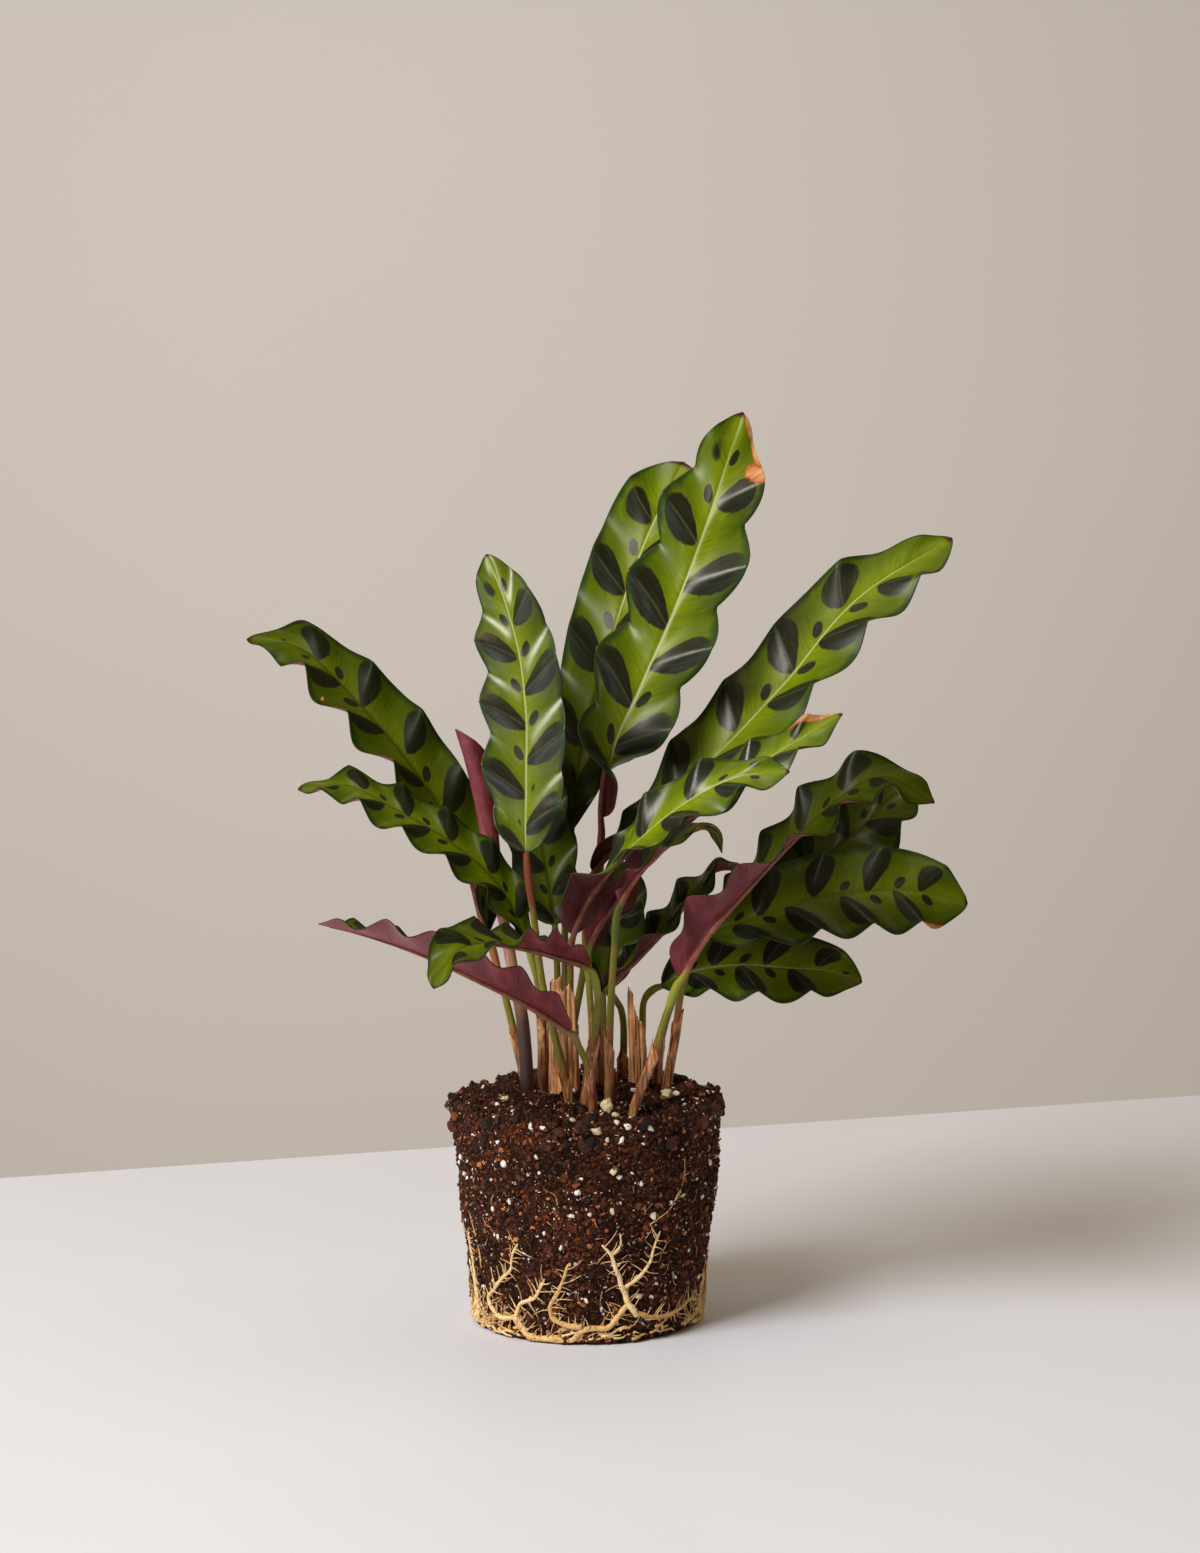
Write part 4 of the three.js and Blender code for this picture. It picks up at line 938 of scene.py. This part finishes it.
def leaf_line(leaf):
    """Line from the stalk's foot in the soil to the blade's tip, its lengths, and the stalk's own length."""
    stalk = [[*leaf["stalk"][0][:2], FOOT_HEIGHT], *leaf["stalk"]]
    line, lengths = smooth_line([*stalk, *leaf["blade"]])
    return line, lengths, lengths[LINE_STEPS * len(stalk)]


def frames(line, lengths, distances, facing):
    """Middle, upward and sideways directions along a line, its upper side turned to `facing`."""
    centre = along(line, lengths, distances)
    reach = 0.4
    tangent = along(line, lengths, np.minimum(distances + reach, lengths[-1])) \
        - along(line, lengths, np.maximum(distances - reach, 0))
    tangent /= np.linalg.norm(tangent, axis=1)[:, None]
    up = facing - (facing * tangent).sum(1)[:, None] * tangent
    up /= np.linalg.norm(up, axis=1)[:, None]
    return centre, up, np.cross(tangent, up)


def stem_radius(share):
    """A stalk's radius in mm at a share of its length."""
    return STALK_FOOT_RADIUS + (STALK_TOP_RADIUS - STALK_FOOT_RADIUS) * share


def blade_outline(t, widest, base, tip):
    """Half width of a blade as a share of its widest; large `base` and `tip` make its ends blunt."""
    low = np.clip(1 - np.clip(t / widest, 0, 1), 0, 1)
    high = np.clip((t - widest) / (1 - widest), 0, 1)
    return np.where(t < widest, (1 - low ** base) ** 0.62, (1 - high ** tip) ** 0.72)


def blade_wave(turns, crease):
    """Crest line along each large oval, creased by the given share, and a rounded trough between."""
    folded = 1 - 2 * np.abs(np.sin(math.pi * turns))
    return (1 - crease) * np.cos(2 * math.pi * turns) + crease * folded


def facing(leaf, t):
    """The way that a blade's upper side faces, at the places t along it."""
    faces = np.array(leaf["face"], float)
    return along(faces, np.linspace(0, 1, len(faces)), t)


def thin_sheet(middle, half_thickness, start=0):
    """Points and faces of a closed sheet with a skin on either side of `middle`, a grid of points in mm."""
    out = np.cross(np.gradient(middle, axis=1), np.gradient(middle, axis=0))
    out *= half_thickness / (np.linalg.norm(out, axis=2)[..., None] + 1e-12)
    rows, columns = middle.shape[:2]
    count = rows * columns
    faces = []
    for i in range(rows - 1):
        for k in range(columns - 1):
            a, b = start + i * columns + k, start + (i + 1) * columns + k
            faces.append((a, a + 1, b + 1, b))
            faces.append((count + a + 1, count + a, count + b, count + b + 1))
        a, b = start + i * columns, start + (i + 1) * columns
        far_a, far_b = a + columns - 1, b + columns - 1
        faces.append((a, b, count + b, count + a))
        faces.append((far_b, far_a, count + far_a, count + far_b))
    for k in range(columns - 1):
        a, b = start + k, start + (rows - 1) * columns + k
        faces.append((a + 1, a, count + a, count + a + 1))
        faces.append((b, b + 1, count + b + 1, count + b))
    return np.concatenate([(middle + out).reshape(-1, 3), (middle - out).reshape(-1, 3)]), faces


def leaf_mesh(leaf, index):
    """Blade and stalk of one leaf, with what its materials read at each point."""
    line, lengths, stalk_length = leaf_line(leaf)
    blade_length = lengths[-1] - stalk_length
    rows = int(leaf["waves"] * ROWS_PER_WAVE)
    t = np.linspace(0, 1, rows + 1)
    centre, up, side = frames(line, lengths, stalk_length + blade_length * t, facing(leaf, t))
    outline = blade_outline(t, leaf["widest"], leaf.get("base", 2.2), leaf.get("tip", 2.8))
    half = np.maximum(leaf["half"] * outline, 0.25)[:, None]
    slope = np.arctan(mix_along(leaf["fold"], t))[:, None]
    calm = (np.minimum(t / 0.15, 1) * np.minimum((1 - t) / 0.1, 1))[:, None]
    s = COLUMNS[None, :]
    cell = leaf["waves"] * t[:, None] + leaf["lead"] - 0.25
    turns = cell + np.where(s < 0, 0.5, 0) + VEIN_SWEEP * (1 - np.abs(s))
    own = np.random.default_rng(LEAF_DRAW + index)
    uneven = 1 + 0.3 * np.interp(t, np.linspace(0, 1, 9), own.uniform(-1, 1, 9))[:, None]
    wave = blade_wave(turns, leaf.get("crease", 0.75))
    lobes = leaf.get("lobes", 0.0) * (2 * np.abs(np.cos(math.pi * turns)) - 1)
    reach = half * s * (1 + calm * s ** 2 * (lobes - leaf.get("scallop", 0.08) * wave))
    rise = np.abs(reach) * np.sin(slope) + leaf["swing"] * calm * uneven * np.abs(s) ** 1.5 * wave
    rise = rise + PLEAT * calm * (1 - np.exp(-(s * half / 2.5) ** 2)) * blade_wave(turns, 0.9)
    rise = rise - GROOVE_DEPTH * np.exp(-(s * half / GROOVE_HALF_WIDTH) ** 2)
    middle = centre[:, None] + side[:, None] * (reach * np.cos(slope))[..., None] \
        + up[:, None] * rise[..., None]
    points, faces = thin_sheet(middle, BLADE_HALF_THICKNESS)
    count = len(points) // 2
    material = [UNDER if min(face) >= count else UPPER for face in faces]
    columns = len(COLUMNS)
    vein = np.stack(np.broadcast_arrays(cell + CELLS_APART * (index + 1), s, t[:, None]), -1).reshape(-1, 3)
    vein = np.concatenate([vein, vein])
    dry = np.zeros((rows + 1, columns))
    for place, across, long, wide in leaf.get("dry", []):
        dry = np.maximum(dry, 1.5 - ((t[:, None] - place) / long) ** 2 - ((s - across) / wide) ** 2)
    dry = np.concatenate([dry.ravel(), dry.ravel()])
    # Painted shade on the upper side: each leaf's tone, read along its length, is lower where the leaf
    # stands in the shadow of other leaves
    tone = np.tile(np.repeat(mix_along(np.atleast_1d(leaf["tone"]), t), columns), 2)

    # Stalk, and the midrib that it runs on as beneath the blade
    share = np.concatenate([np.linspace(0, 1, STALK_ROWS), 1 + np.linspace(0, RIB_REACH, RIB_ROWS)[1:]])
    distance = np.where(share < 1, share * stalk_length, stalk_length + (share - 1) * blade_length)
    under = np.clip((share - 0.96) / 0.06, 0, 1)
    centre, up, side = frames(line, lengths, distance, facing(leaf, np.clip(share - 1, 0, 1)))
    knee = np.sin(np.clip((share - KNEE_START) / (1 - KNEE_START), 0, 1) * math.pi) * (share < 1)
    stem = stem_radius(share) + KNEE_SWELL * knee
    rib = STALK_TOP_RADIUS * np.clip(2 - share, 0.1, 1) ** 0.8
    radius = np.where(share < 1, stem, rib)
    centre = centre - up * (under * (radius + RIB_GAP))[:, None]
    base = len(points)
    ring, tube_faces = tube(centre, side, up, radius, STALK_SIDES, base)
    points = np.concatenate([points, ring.reshape(-1, 3)])
    faces.extend(tube_faces)
    material.extend([STALK] * len(tube_faces))
    over_sheath = np.concatenate([np.zeros(base), (ring[..., 2] - leaf["sheath"]).ravel()])
    up_stalk = np.concatenate([np.zeros(base), np.repeat(share, STALK_SIDES)])
    extra = len(points) - base
    vein = np.concatenate([vein, np.zeros((extra, 3))])
    dry = np.concatenate([dry, np.full(extra, -5.0)])
    tone = np.concatenate([tone, np.ones(extra)])

    mesh = new_mesh(leaf["name"] + "_green", (points * MM).tolist(), faces)
    carry(mesh, "vein", vein)
    carry(mesh, "over_sheath", over_sheath)
    carry(mesh, "up_stalk", up_stalk)
    carry(mesh, "dry", dry)
    carry(mesh, "tone", tone)
    carry(mesh, "gloss", np.full(len(points), leaf["gloss"]))
    # Painted shade and painted sheen for the lower side: below 1 darker where the leaf stands in shadow,
    # above 1 a dusty rose sheen
    carry(mesh, "wine", np.full(len(points), leaf.get("wine", 1.0)))
    carry(mesh, "knee", np.tile([*tint(*leaf["knee"]), 1.0], (len(points), 1)))
    mesh.polygons.foreach_set("material_index", material)
    mesh.shade_smooth()
    return mesh


def vein_pattern(at):
    """Where a point lies on its blade: midrib to margin, knee to tip, and the count of side veins."""
    vein = carried(at, "vein", 1)
    side = part(vein, 1)
    across = abs(side)
    turns = part(vein, 0) + side.math("LESS_THAN", side, 0.0) * 0.5 + (1 - across) * VEIN_SWEEP
    return across, part(vein, 2), turns


def oval(turns, across, middle, width, reach, inner):
    """How far a point is from the middle of its cell's oval, with 1 at its edge, and the cell's dice."""
    cell = turns.math("ROUND", turns)
    dice = cell.node("TexWhiteNoise", {"noise_dimensions": "1D"}, {"W": cell + inner})
    other = cell.node("TexWhiteNoise", {"noise_dimensions": "1D"}, {"W": cell + inner + 0.37})
    long = (across - middle) / (reach * (0.86 + other * 0.28))
    wide = (turns - cell) / (width * (0.85 + dice * 0.3))
    return long * long + wide * wide, dice


def blade_speckle(turns, across, rise, detail=2, rough=0.5):
    """Cloudy noise that follows the side veins."""
    return speckle(turns.node("CombineXYZ", None, {0: turns, 1: across, 2: rise}), 1.0, detail, rough)


def pleats(turns):
    """Fine folds between the side veins, from 0 to 1."""
    folds = turns * (2 * math.pi * FOLDS_TO_A_WAVE)
    return folds.math("SINE", folds) * 0.5 + 0.5


# Upper face of the blades
upper_paint, at, feed = new_material("leaf_upper", roughness=0.45, coat_roughness=0.32, coat_ior=1.7,
                                     specular_ior_level=0.04)
across, t, turns = vein_pattern(at)
tone = carried(at, "tone")
gloss = carried(at, "gloss")
streaks = blade_speckle(turns * 26, across * 2.4, t * 3, 3, 0.6)
broad = blade_speckle(turns * 4, across * 2.0, 0.0)
ragged = blade_speckle(turns * 9, across * 7, 3.0, 3, 0.6) - 0.5
fades = smooth(t, 0.97, 0.78)
far, _ = oval(turns + ragged * 0.05, across, 0.49, 0.245 * (0.6 + across * 0.75), 0.45, 0.11)
large = smooth(far + (1 - fades) * 1.3, 1.14, 0.9)
near, dice = oval(turns + 0.46 + ragged * 0.05, across, 0.2, 0.105, 0.135, 0.53)
rare = smooth(dice, 0.5, 0.6) * 3 + dice * 0.7 + (1 - smooth(t, 0.97, 0.9)) * 3
small = smooth(near + rare, 1.3, 0.95)
ovals = large.math("MAXIMUM", large, small)
green = blend(smooth(across + broad * 0.4, 0.15, 0.95), tint(122, 141, 4), tint(84, 108, 0))
green = blend(smooth(streaks, 0.35, 0.75) * 0.45, green, tint(66, 82, 0))
green = blend(smooth(broad, 0.55, 0.8) * 0.4, green, tint(144, 162, 14))
# Painted shade: a low tone darkens the green and the ovals where the leaf stands in the shadow of other
# leaves, and partly gives older leaves a darker green
green = blend((1 - tone) * 0.9, green, tint(33, 37, 0))
slate = blend(smooth(streaks, 0.4, 0.75), tint(29, 34, 21), tint(43, 47, 30))
slate = blend((1 - tone) * 0.75, slate, tint(20, 23, 4))
vein = turns - turns.math("ROUND", turns)
vein_line = smooth(abs(vein), 0.022, 0.006) * smooth(across, 0.93, 0.7)
slate = blend(vein_line * smooth(tone, 0.5, 1.0) * 0.4, slate, tint(92, 102, 70))
face = blend(ovals, green, slate)
margin = smooth(across + ragged * 0.12 + streaks * 0.06, 0.84, 1.0)
# The margin is painted darker with the leaf's tone, as painted shade
face = blend(margin * 0.9, face, blend(tone, tint(20, 30, 6), tint(36, 60, 24)))
rib = smooth(across * (0.6 + t), 0.04, 0.018) * smooth(t, 1.0, 0.85)
face = blend(rib * smooth(tone, 0.64, 0.9) * 0.9, face, tint(170, 184, 118))
shadow_line = smooth(across * (0.6 + t), 0.1, 0.03) * smooth(tone, 0.8, 0.4)
face = blend(shadow_line * 0.45, face, tint(26, 32, 4))
rim = smooth(across, 0.985, 0.998) * smooth(ragged, -0.05, 0.1)
face = blend(rim * 0.7, face, tint(96, 56, 32))
face = blend(smooth(t + ragged * 0.01, 0.982, 0.992), face, tint(66, 34, 22))
fray = carried(at, "dry") + ragged * 1.2
withered = smooth(fray, 0.42, 0.55)
scorched = smooth(fray, 1.1, 0.5)
tan = blend(smooth(streaks, 0.35, 0.7), tint(206, 160, 112), tint(170, 108, 62))
tan = blend(scorched * 0.85, tan, tint(168, 74, 30))
face = blend(withered, face, tan)
height = streaks * 0.75 + pleats(turns) * 0.25
patchy = smooth(broad + (streaks - 0.5) * 0.5, 0.3, 0.65)
feed(base_color=face, roughness=0.42 + withered * 0.3 + streaks * 0.1,
     coat_weight=gloss * (0.45 + patchy * 0.35 + ovals * 0.2) * (1 - withered),
     normal=relief(height, 0.00022, 0.5))

# Lower face of the blades
under_paint, at, feed = new_material("leaf_under", roughness=0.5, coat_weight=0.06, coat_roughness=0.35,
                                     specular_ior_level=0.25, sheen_weight=0.14, sheen_roughness=0.45)
across, t, turns = vein_pattern(at)
streaks = blade_speckle(turns * 26, across * 2.4, t * 3 + 9, 3, 0.6)
broad = blade_speckle(turns * 3, across * 2.0, 4.0)
wine = blend(smooth(broad, 0.35, 0.7), tint(112, 32, 42), tint(138, 48, 58))
wine = blend(smooth(streaks, 0.4, 0.75) * 0.6, wine, tint(80, 20, 26))
far, _ = oval(turns, across, 0.46, 0.22, 0.43, 0.11)
wine = blend(smooth(far, 1.2, 0.7) * 0.25, wine, tint(58, 22, 26))
# Painted shade and painted sheen on the lower side: below 1 the colour is darkened where the leaf stands in
# the shadow of others, above 1 a pale dusty rose sheen is laid on towards the tip
depth = carried(at, "wine")
wine = blend(1 - depth, wine, tint(30, 12, 8))
wine = blend((depth - 1) * smooth(t, 0.25, 0.75), wine, tint(178, 122, 124))
wine = blend(smooth(across, 0.09, 0.03) * 0.7, wine, tint(146, 90, 66))
wine = blend(smooth(across, 0.955, 1.0) * 0.6, wine, tint(90, 66, 44))
withered = smooth(carried(at, "dry") + (broad - 0.5) * 1.2, 0.42, 0.55)
wine = blend(withered, wine, tint(190, 128, 74))
feed(base_color=wine, roughness=0.4 + streaks * 0.14,
     normal=relief(streaks * 0.6 + pleats(turns) * 0.4, 0.00028, 0.6))


def drawn_out(at, share):
    """Places with their heights cut to a share, so that speckles there become upright fibres."""
    return at.node("VectorMath", {"operation": "MULTIPLY"}, {0: at, 1: (1.0, 1.0, share)})


# Stalk: brown fibrous sheath, green above it, then the knee's own colour, and the rib beneath the blade
stalk_paint, at, feed = new_material("leaf_stalk", roughness=0.45, coat_weight=0.1, specular_ior_level=0.3)
height = carried(at, "over_sheath")
share = carried(at, "up_stalk")
fibres = speckle(drawn_out(at, 0.07), 2200, 3, 0.6)
blotch = speckle(at, 260, 3, 0.6)
brown = blend(smooth(fibres, 0.38, 0.68), tint(170, 116, 66), tint(98, 58, 30))
brown = blend(smooth(blotch, 0.5, 0.72) * 0.7, brown, tint(208, 156, 96))
brown = blend(smooth(blotch, 0.42, 0.3) * 0.5, brown, tint(78, 40, 24))
leafy = blend(smooth(fibres, 0.4, 0.7) * 0.6, tint(126, 118, 32), tint(78, 74, 16))
leafy = blend(smooth(share + (blotch - 0.5) * 0.05, 0.76, 0.84), leafy, carried(at, "knee", 0))
rib = blend(smooth(blotch, 0.4, 0.7), tint(138, 84, 66), tint(112, 56, 60))
leafy = blend(smooth(share, 0.99, 1.06), leafy, rib)
sheathed = smooth(height + (fibres - 0.5) * 22, 1.5, -1.5)
feed(base_color=blend(sheathed, leafy, brown), roughness=0.42 + sheathed * 0.25,
     normal=relief(fibres, 0.0004, 0.5))

for index, leaf in enumerate(LEAVES):
    piece = add_object(leaf["name"] + "_green", leaf_mesh(leaf, index),
                       upper_paint, under_paint, stalk_paint)
    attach(piece, "root")
    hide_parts(leaf["name"])

# Sheaths on the stalks. The lower part of each stalk is wrapped in the dry brown husk of its own
# sheath, open down one side and torn to points at the top.
husk_paint, at, feed = new_material("dry_husk", roughness=0.4, specular_ior_level=0.5)
long_fibres = drawn_out(at, 0.045)
fibres = speckle(long_fibres, 1700, 4, 0.6)
blotch = speckle(at, 130, 3, 0.6)
bands = speckle(long_fibres, 520, 2, 0.5)
stain = speckle(long_fibres, 90, 2, 0.5)
husk = blend(smooth(bands, 0.36, 0.64), tint(240, 180, 120), tint(118, 62, 36))
husk = blend(smooth(stain, 0.45, 0.65) * 0.5, husk, tint(150, 72, 42))
husk = blend(smooth(fibres, 0.5, 0.68) * 0.75, husk, tint(78, 38, 22))
husk = blend(smooth(fibres, 0.42, 0.3) * 0.75, husk, tint(255, 214, 156))
husk = blend(smooth(blotch, 0.56, 0.72) * 0.4, husk, tint(246, 196, 138))
husk = blend(smooth(blotch, 0.42, 0.3) * 0.5, husk, tint(92, 44, 26))
feed(base_color=husk, normal=relief(fibres * 0.5 + bands * 0.6, 0.0006, 0.8))


def sheet_mesh(name, sheets):
    """Closed thin sheets in one mesh, each a grid of points in mm and its half thickness."""
    points = []
    faces = []
    for grid, half_thickness in sheets:
        more_points, more_faces = thin_sheet(grid, half_thickness, len(points))
        points.extend((more_points * MM).tolist())
        faces.extend(more_faces)
    mesh = new_mesh(name, points, faces)
    mesh.shade_smooth()
    return mesh


HUSK_ROWS = 26
HUSK_COLUMNS = 15
HUSK_HALF_THICKNESS = 0.11
HUSK_WRAP = 0.86
HUSK_DRAW = 300
RISING_PART = slice(5 * LINE_STEPS)
sheets = []
for index, leaf in enumerate(LEAVES):
    line, lengths, stalk_length = leaf_line(leaf)
    own = random.Random(HUSK_DRAW + index)
    open_at = own.uniform(0, 2 * math.pi)
    top = leaf["sheath"] + own.uniform(-2, 3)
    grid = np.zeros((HUSK_ROWS, HUSK_COLUMNS, 3))
    peak = own.uniform(0.35, 0.65)
    for k in range(HUSK_COLUMNS):
        place = k / (HUSK_COLUMNS - 1)
        ragged = 19.5 * abs(place - peak) ** 1.3 + 1.6 * noise.noise(Vector((k * 0.9, index * 3.1, 0)))
        heights = np.linspace(FOOT_HEIGHT + 3, top - ragged, HUSK_ROWS)
        distances = np.interp(heights, line[RISING_PART, 2], lengths[RISING_PART])
        spots = along(line, lengths, distances)
        angle = open_at + (place - 0.5) * 2 * math.pi * HUSK_WRAP
        rise = np.linspace(0, 1, HUSK_ROWS)
        radius = stem_radius(distances / stalk_length) + 0.2 + 0.5 * rise ** 5 * own.uniform(0.4, 1.4) \
            + 0.12 * math.sin(5 * angle)
        grid[:, k, 0] = spots[:, 0] + radius * math.cos(angle)
        grid[:, k, 1] = spots[:, 1] + radius * math.sin(angle)
        grid[:, k, 2] = spots[:, 2]
    sheets.append((grid, HUSK_HALF_THICKNESS))
husks = add_object("stalk_husks", sheet_mesh("stalk_husks", sheets), husk_paint)
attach(husks, "root")

# Two large dry sheaths that outlived their leaves: fluted, split husks of tan fibre, open at the back.
# Each has the middle of its foot and of its head and its radius in mm, the angles at which it begins and
# ends, and the heights of its torn edge between them.
DRY_SHEATHS = [("dry_sheath_left", (-8.5, 1.7), (-9, 0), 5.6, -3.3, 0.1,
                [114, 127, 129, 124, 127, 120, 110]),
               ("dry_sheath_right", (19.5, 12.5), (18.3, 12), 3.2, -3.2, 0.3,
                [104, 123, 121, 112, 110, 106, 98])]
SHEATH_ROWS = 60
SHEATH_COLUMNS = 64
SHEATH_HALF_THICKNESS = 0.14
SHEATH_FOOT = BALL_HEIGHT - 6
for number, (name, foot, head, wide, begin, end, tops) in enumerate(DRY_SHEATHS):
    grid = np.zeros((SHEATH_ROWS, SHEATH_COLUMNS, 3))
    peak = max(tops)
    for k in range(SHEATH_COLUMNS):
        place = k / (SHEATH_COLUMNS - 1)
        angle = begin + (end - begin) * place
        notch = 3.2 * max(0, noise.noise(Vector((k * 0.42, number * 9.0, 2)))) \
            + 2.2 * noise.noise(Vector((k * 0.95, number * 7.0, 6)))
        crest = mix_along(tops, place) - notch
        for i in range(SHEATH_ROWS):
            share = i / (SHEATH_ROWS - 1)
            z = SHEATH_FOOT + (crest - SHEATH_FOOT) * share
            lean = (z - BALL_HEIGHT) / (peak - BALL_HEIGHT)
            flute = 0.38 * math.sin(angle * 7 + number) + 0.25 * math.sin(angle * 16 + z * 0.05)
            crinkle = 0.5 * noise.noise(Vector((angle * 3, z * 0.06, number * 4.0)))
            flare = 0.648 * max(0, share - 0.85) * notch
            radius = wide * (1 - 0.1 * lean) + flute + crinkle + flare
            grid[i, k] = (foot[0] + (head[0] - foot[0]) * lean + radius * math.cos(angle),
                          foot[1] + (head[1] - foot[1]) * lean + radius * math.sin(angle), z)
    mesh = sheet_mesh(name + "_husk", [(grid, SHEATH_HALF_THICKNESS)])
    piece = add_object(name + "_husk", mesh, husk_paint)
    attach(piece, "root")
    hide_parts(name)

# The newest leaf, still rolled up. A thick purple-brown stalk carries a blade wound into a tube,
# wine red outside, with its free edge showing down one side and a slanted, open tip.
ROLLED = [((-22, -2.5, 75.5), 2.6), ((-22, -2.5, 86), 2.6), ((-24, -2, 114), 2.4), ((-27, -1, 129), 2.2),
          ((-30, 0, 146), 2.2), ((-34, 2, 165), 3.0), ((-37, 1, 188), 3.6), ((-40, -1, 205), 3.9),
          ((-45, -4, 224), 3.9)]
# Each point of its middle line in mm has the radius there, and the blade starts at this one
ROLL_START = 4
STEM_ROWS = 60
STEM_SIDES = 18
STEM_INTO_ROLL = 6
STEM_SHRINK = 0.86
ROLL_ROWS = 90
ROLL_COLUMNS = 70
ROLL_HALF_THICKNESS = 0.16
ROLL_WINDS = 2.35 * math.pi
line, lengths = smooth_line([stop for stop, _ in ROLLED])
stops = [lengths[min(LINE_STEPS * i, len(lengths) - 1)] for i in range(len(ROLLED))]
radii = [radius for _, radius in ROLLED]
roll_start = stops[ROLL_START]
places = np.linspace(0, roll_start + STEM_INTO_ROLL, STEM_ROWS)
radius = np.interp(places, stops, radii) * np.where(places > roll_start, STEM_SHRINK, 1)
stem = TubeMesh()
stem.add(along(line, lengths, places), radius, STEM_SIDES)
stem_mesh = stem.build("rolled_leaf_stalk")
grid = np.zeros((ROLL_ROWS, ROLL_COLUMNS, 3))
outward = np.tile(np.array([0.3, -1, 0.2]), (ROLL_ROWS, 1))
share = np.linspace(0, 1, ROLL_ROWS)
for k in range(ROLL_COLUMNS):
    place = k / (ROLL_COLUMNS - 1)
    turn = 0.9 - ROLL_WINDS * place
    slant = 5 * (1 - math.cos(turn - 3.0)) + 14 * max(0, place - 0.8)
    reach = np.linspace(roll_start - 3 + 8 * place ** 3, lengths[-1] - 1.0 - slant, ROLL_ROWS)
    centre, up, side = frames(line, lengths, reach, outward)
    radius = np.interp(reach, stops, radii) * (1 + 0.03 * np.sin(share * 9 + place * 3))
    radius *= (0.62 + 0.38 * np.clip((reach - roll_start + 3) / 14, 0, 1)) * (1.0 - 0.16 * (1 - place))
    radius += 4.5 * np.clip(share - 0.86, 0, 1) * place
    across, rise = radius * math.cos(turn), radius * math.sin(turn) * 0.92
    grid[:, k] = centre + side * across[:, None] + up * rise[:, None]
roll_mesh = sheet_mesh("rolled_blade", [(grid, ROLL_HALF_THICKNESS)])

young_paint, at, feed = new_material("young_leaf", roughness=0.4, coat_weight=0.15, coat_roughness=0.3)
fibres = speckle(drawn_out(at, 0.12), 1500, 3, 0.6)
clouds = speckle(at, 120, 3, 0.6)
rose = blend(smooth(clouds, 0.35, 0.7), tint(122, 42, 54), tint(156, 72, 80))
rose = blend(smooth(fibres, 0.4, 0.75) * 0.6, rose, tint(88, 34, 42))
feed(base_color=rose, normal=relief(fibres, 0.0004, 0.6))

thick_paint, at, feed = new_material("thick_stalk", roughness=0.42, coat_weight=0.15)
fibres = speckle(drawn_out(at, 0.08), 1900, 3, 0.6)
rising = part(at, 2) + (speckle(at, 140, 2) - 0.5) * 0.02
bark = ramp(smooth(rising, 0.08, 0.165), (0.0, 54, 32, 30), (0.28, 68, 42, 38), (0.45, 128, 88, 70),
            (0.68, 176, 128, 108), (1.0, 150, 84, 88))
feed(base_color=blend(smooth(fibres, 0.42, 0.7) * 0.5, bark, tint(70, 42, 42)),
     normal=relief(fibres, 0.0004, 0.5))
stem_piece = add_object("rolled_leaf_stalk", stem_mesh, thick_paint)
roll_piece = add_object("rolled_blade", roll_mesh, young_paint)
for piece in (stem_piece, roll_piece):
    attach(piece, "root")
    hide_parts("leaf_rolled")
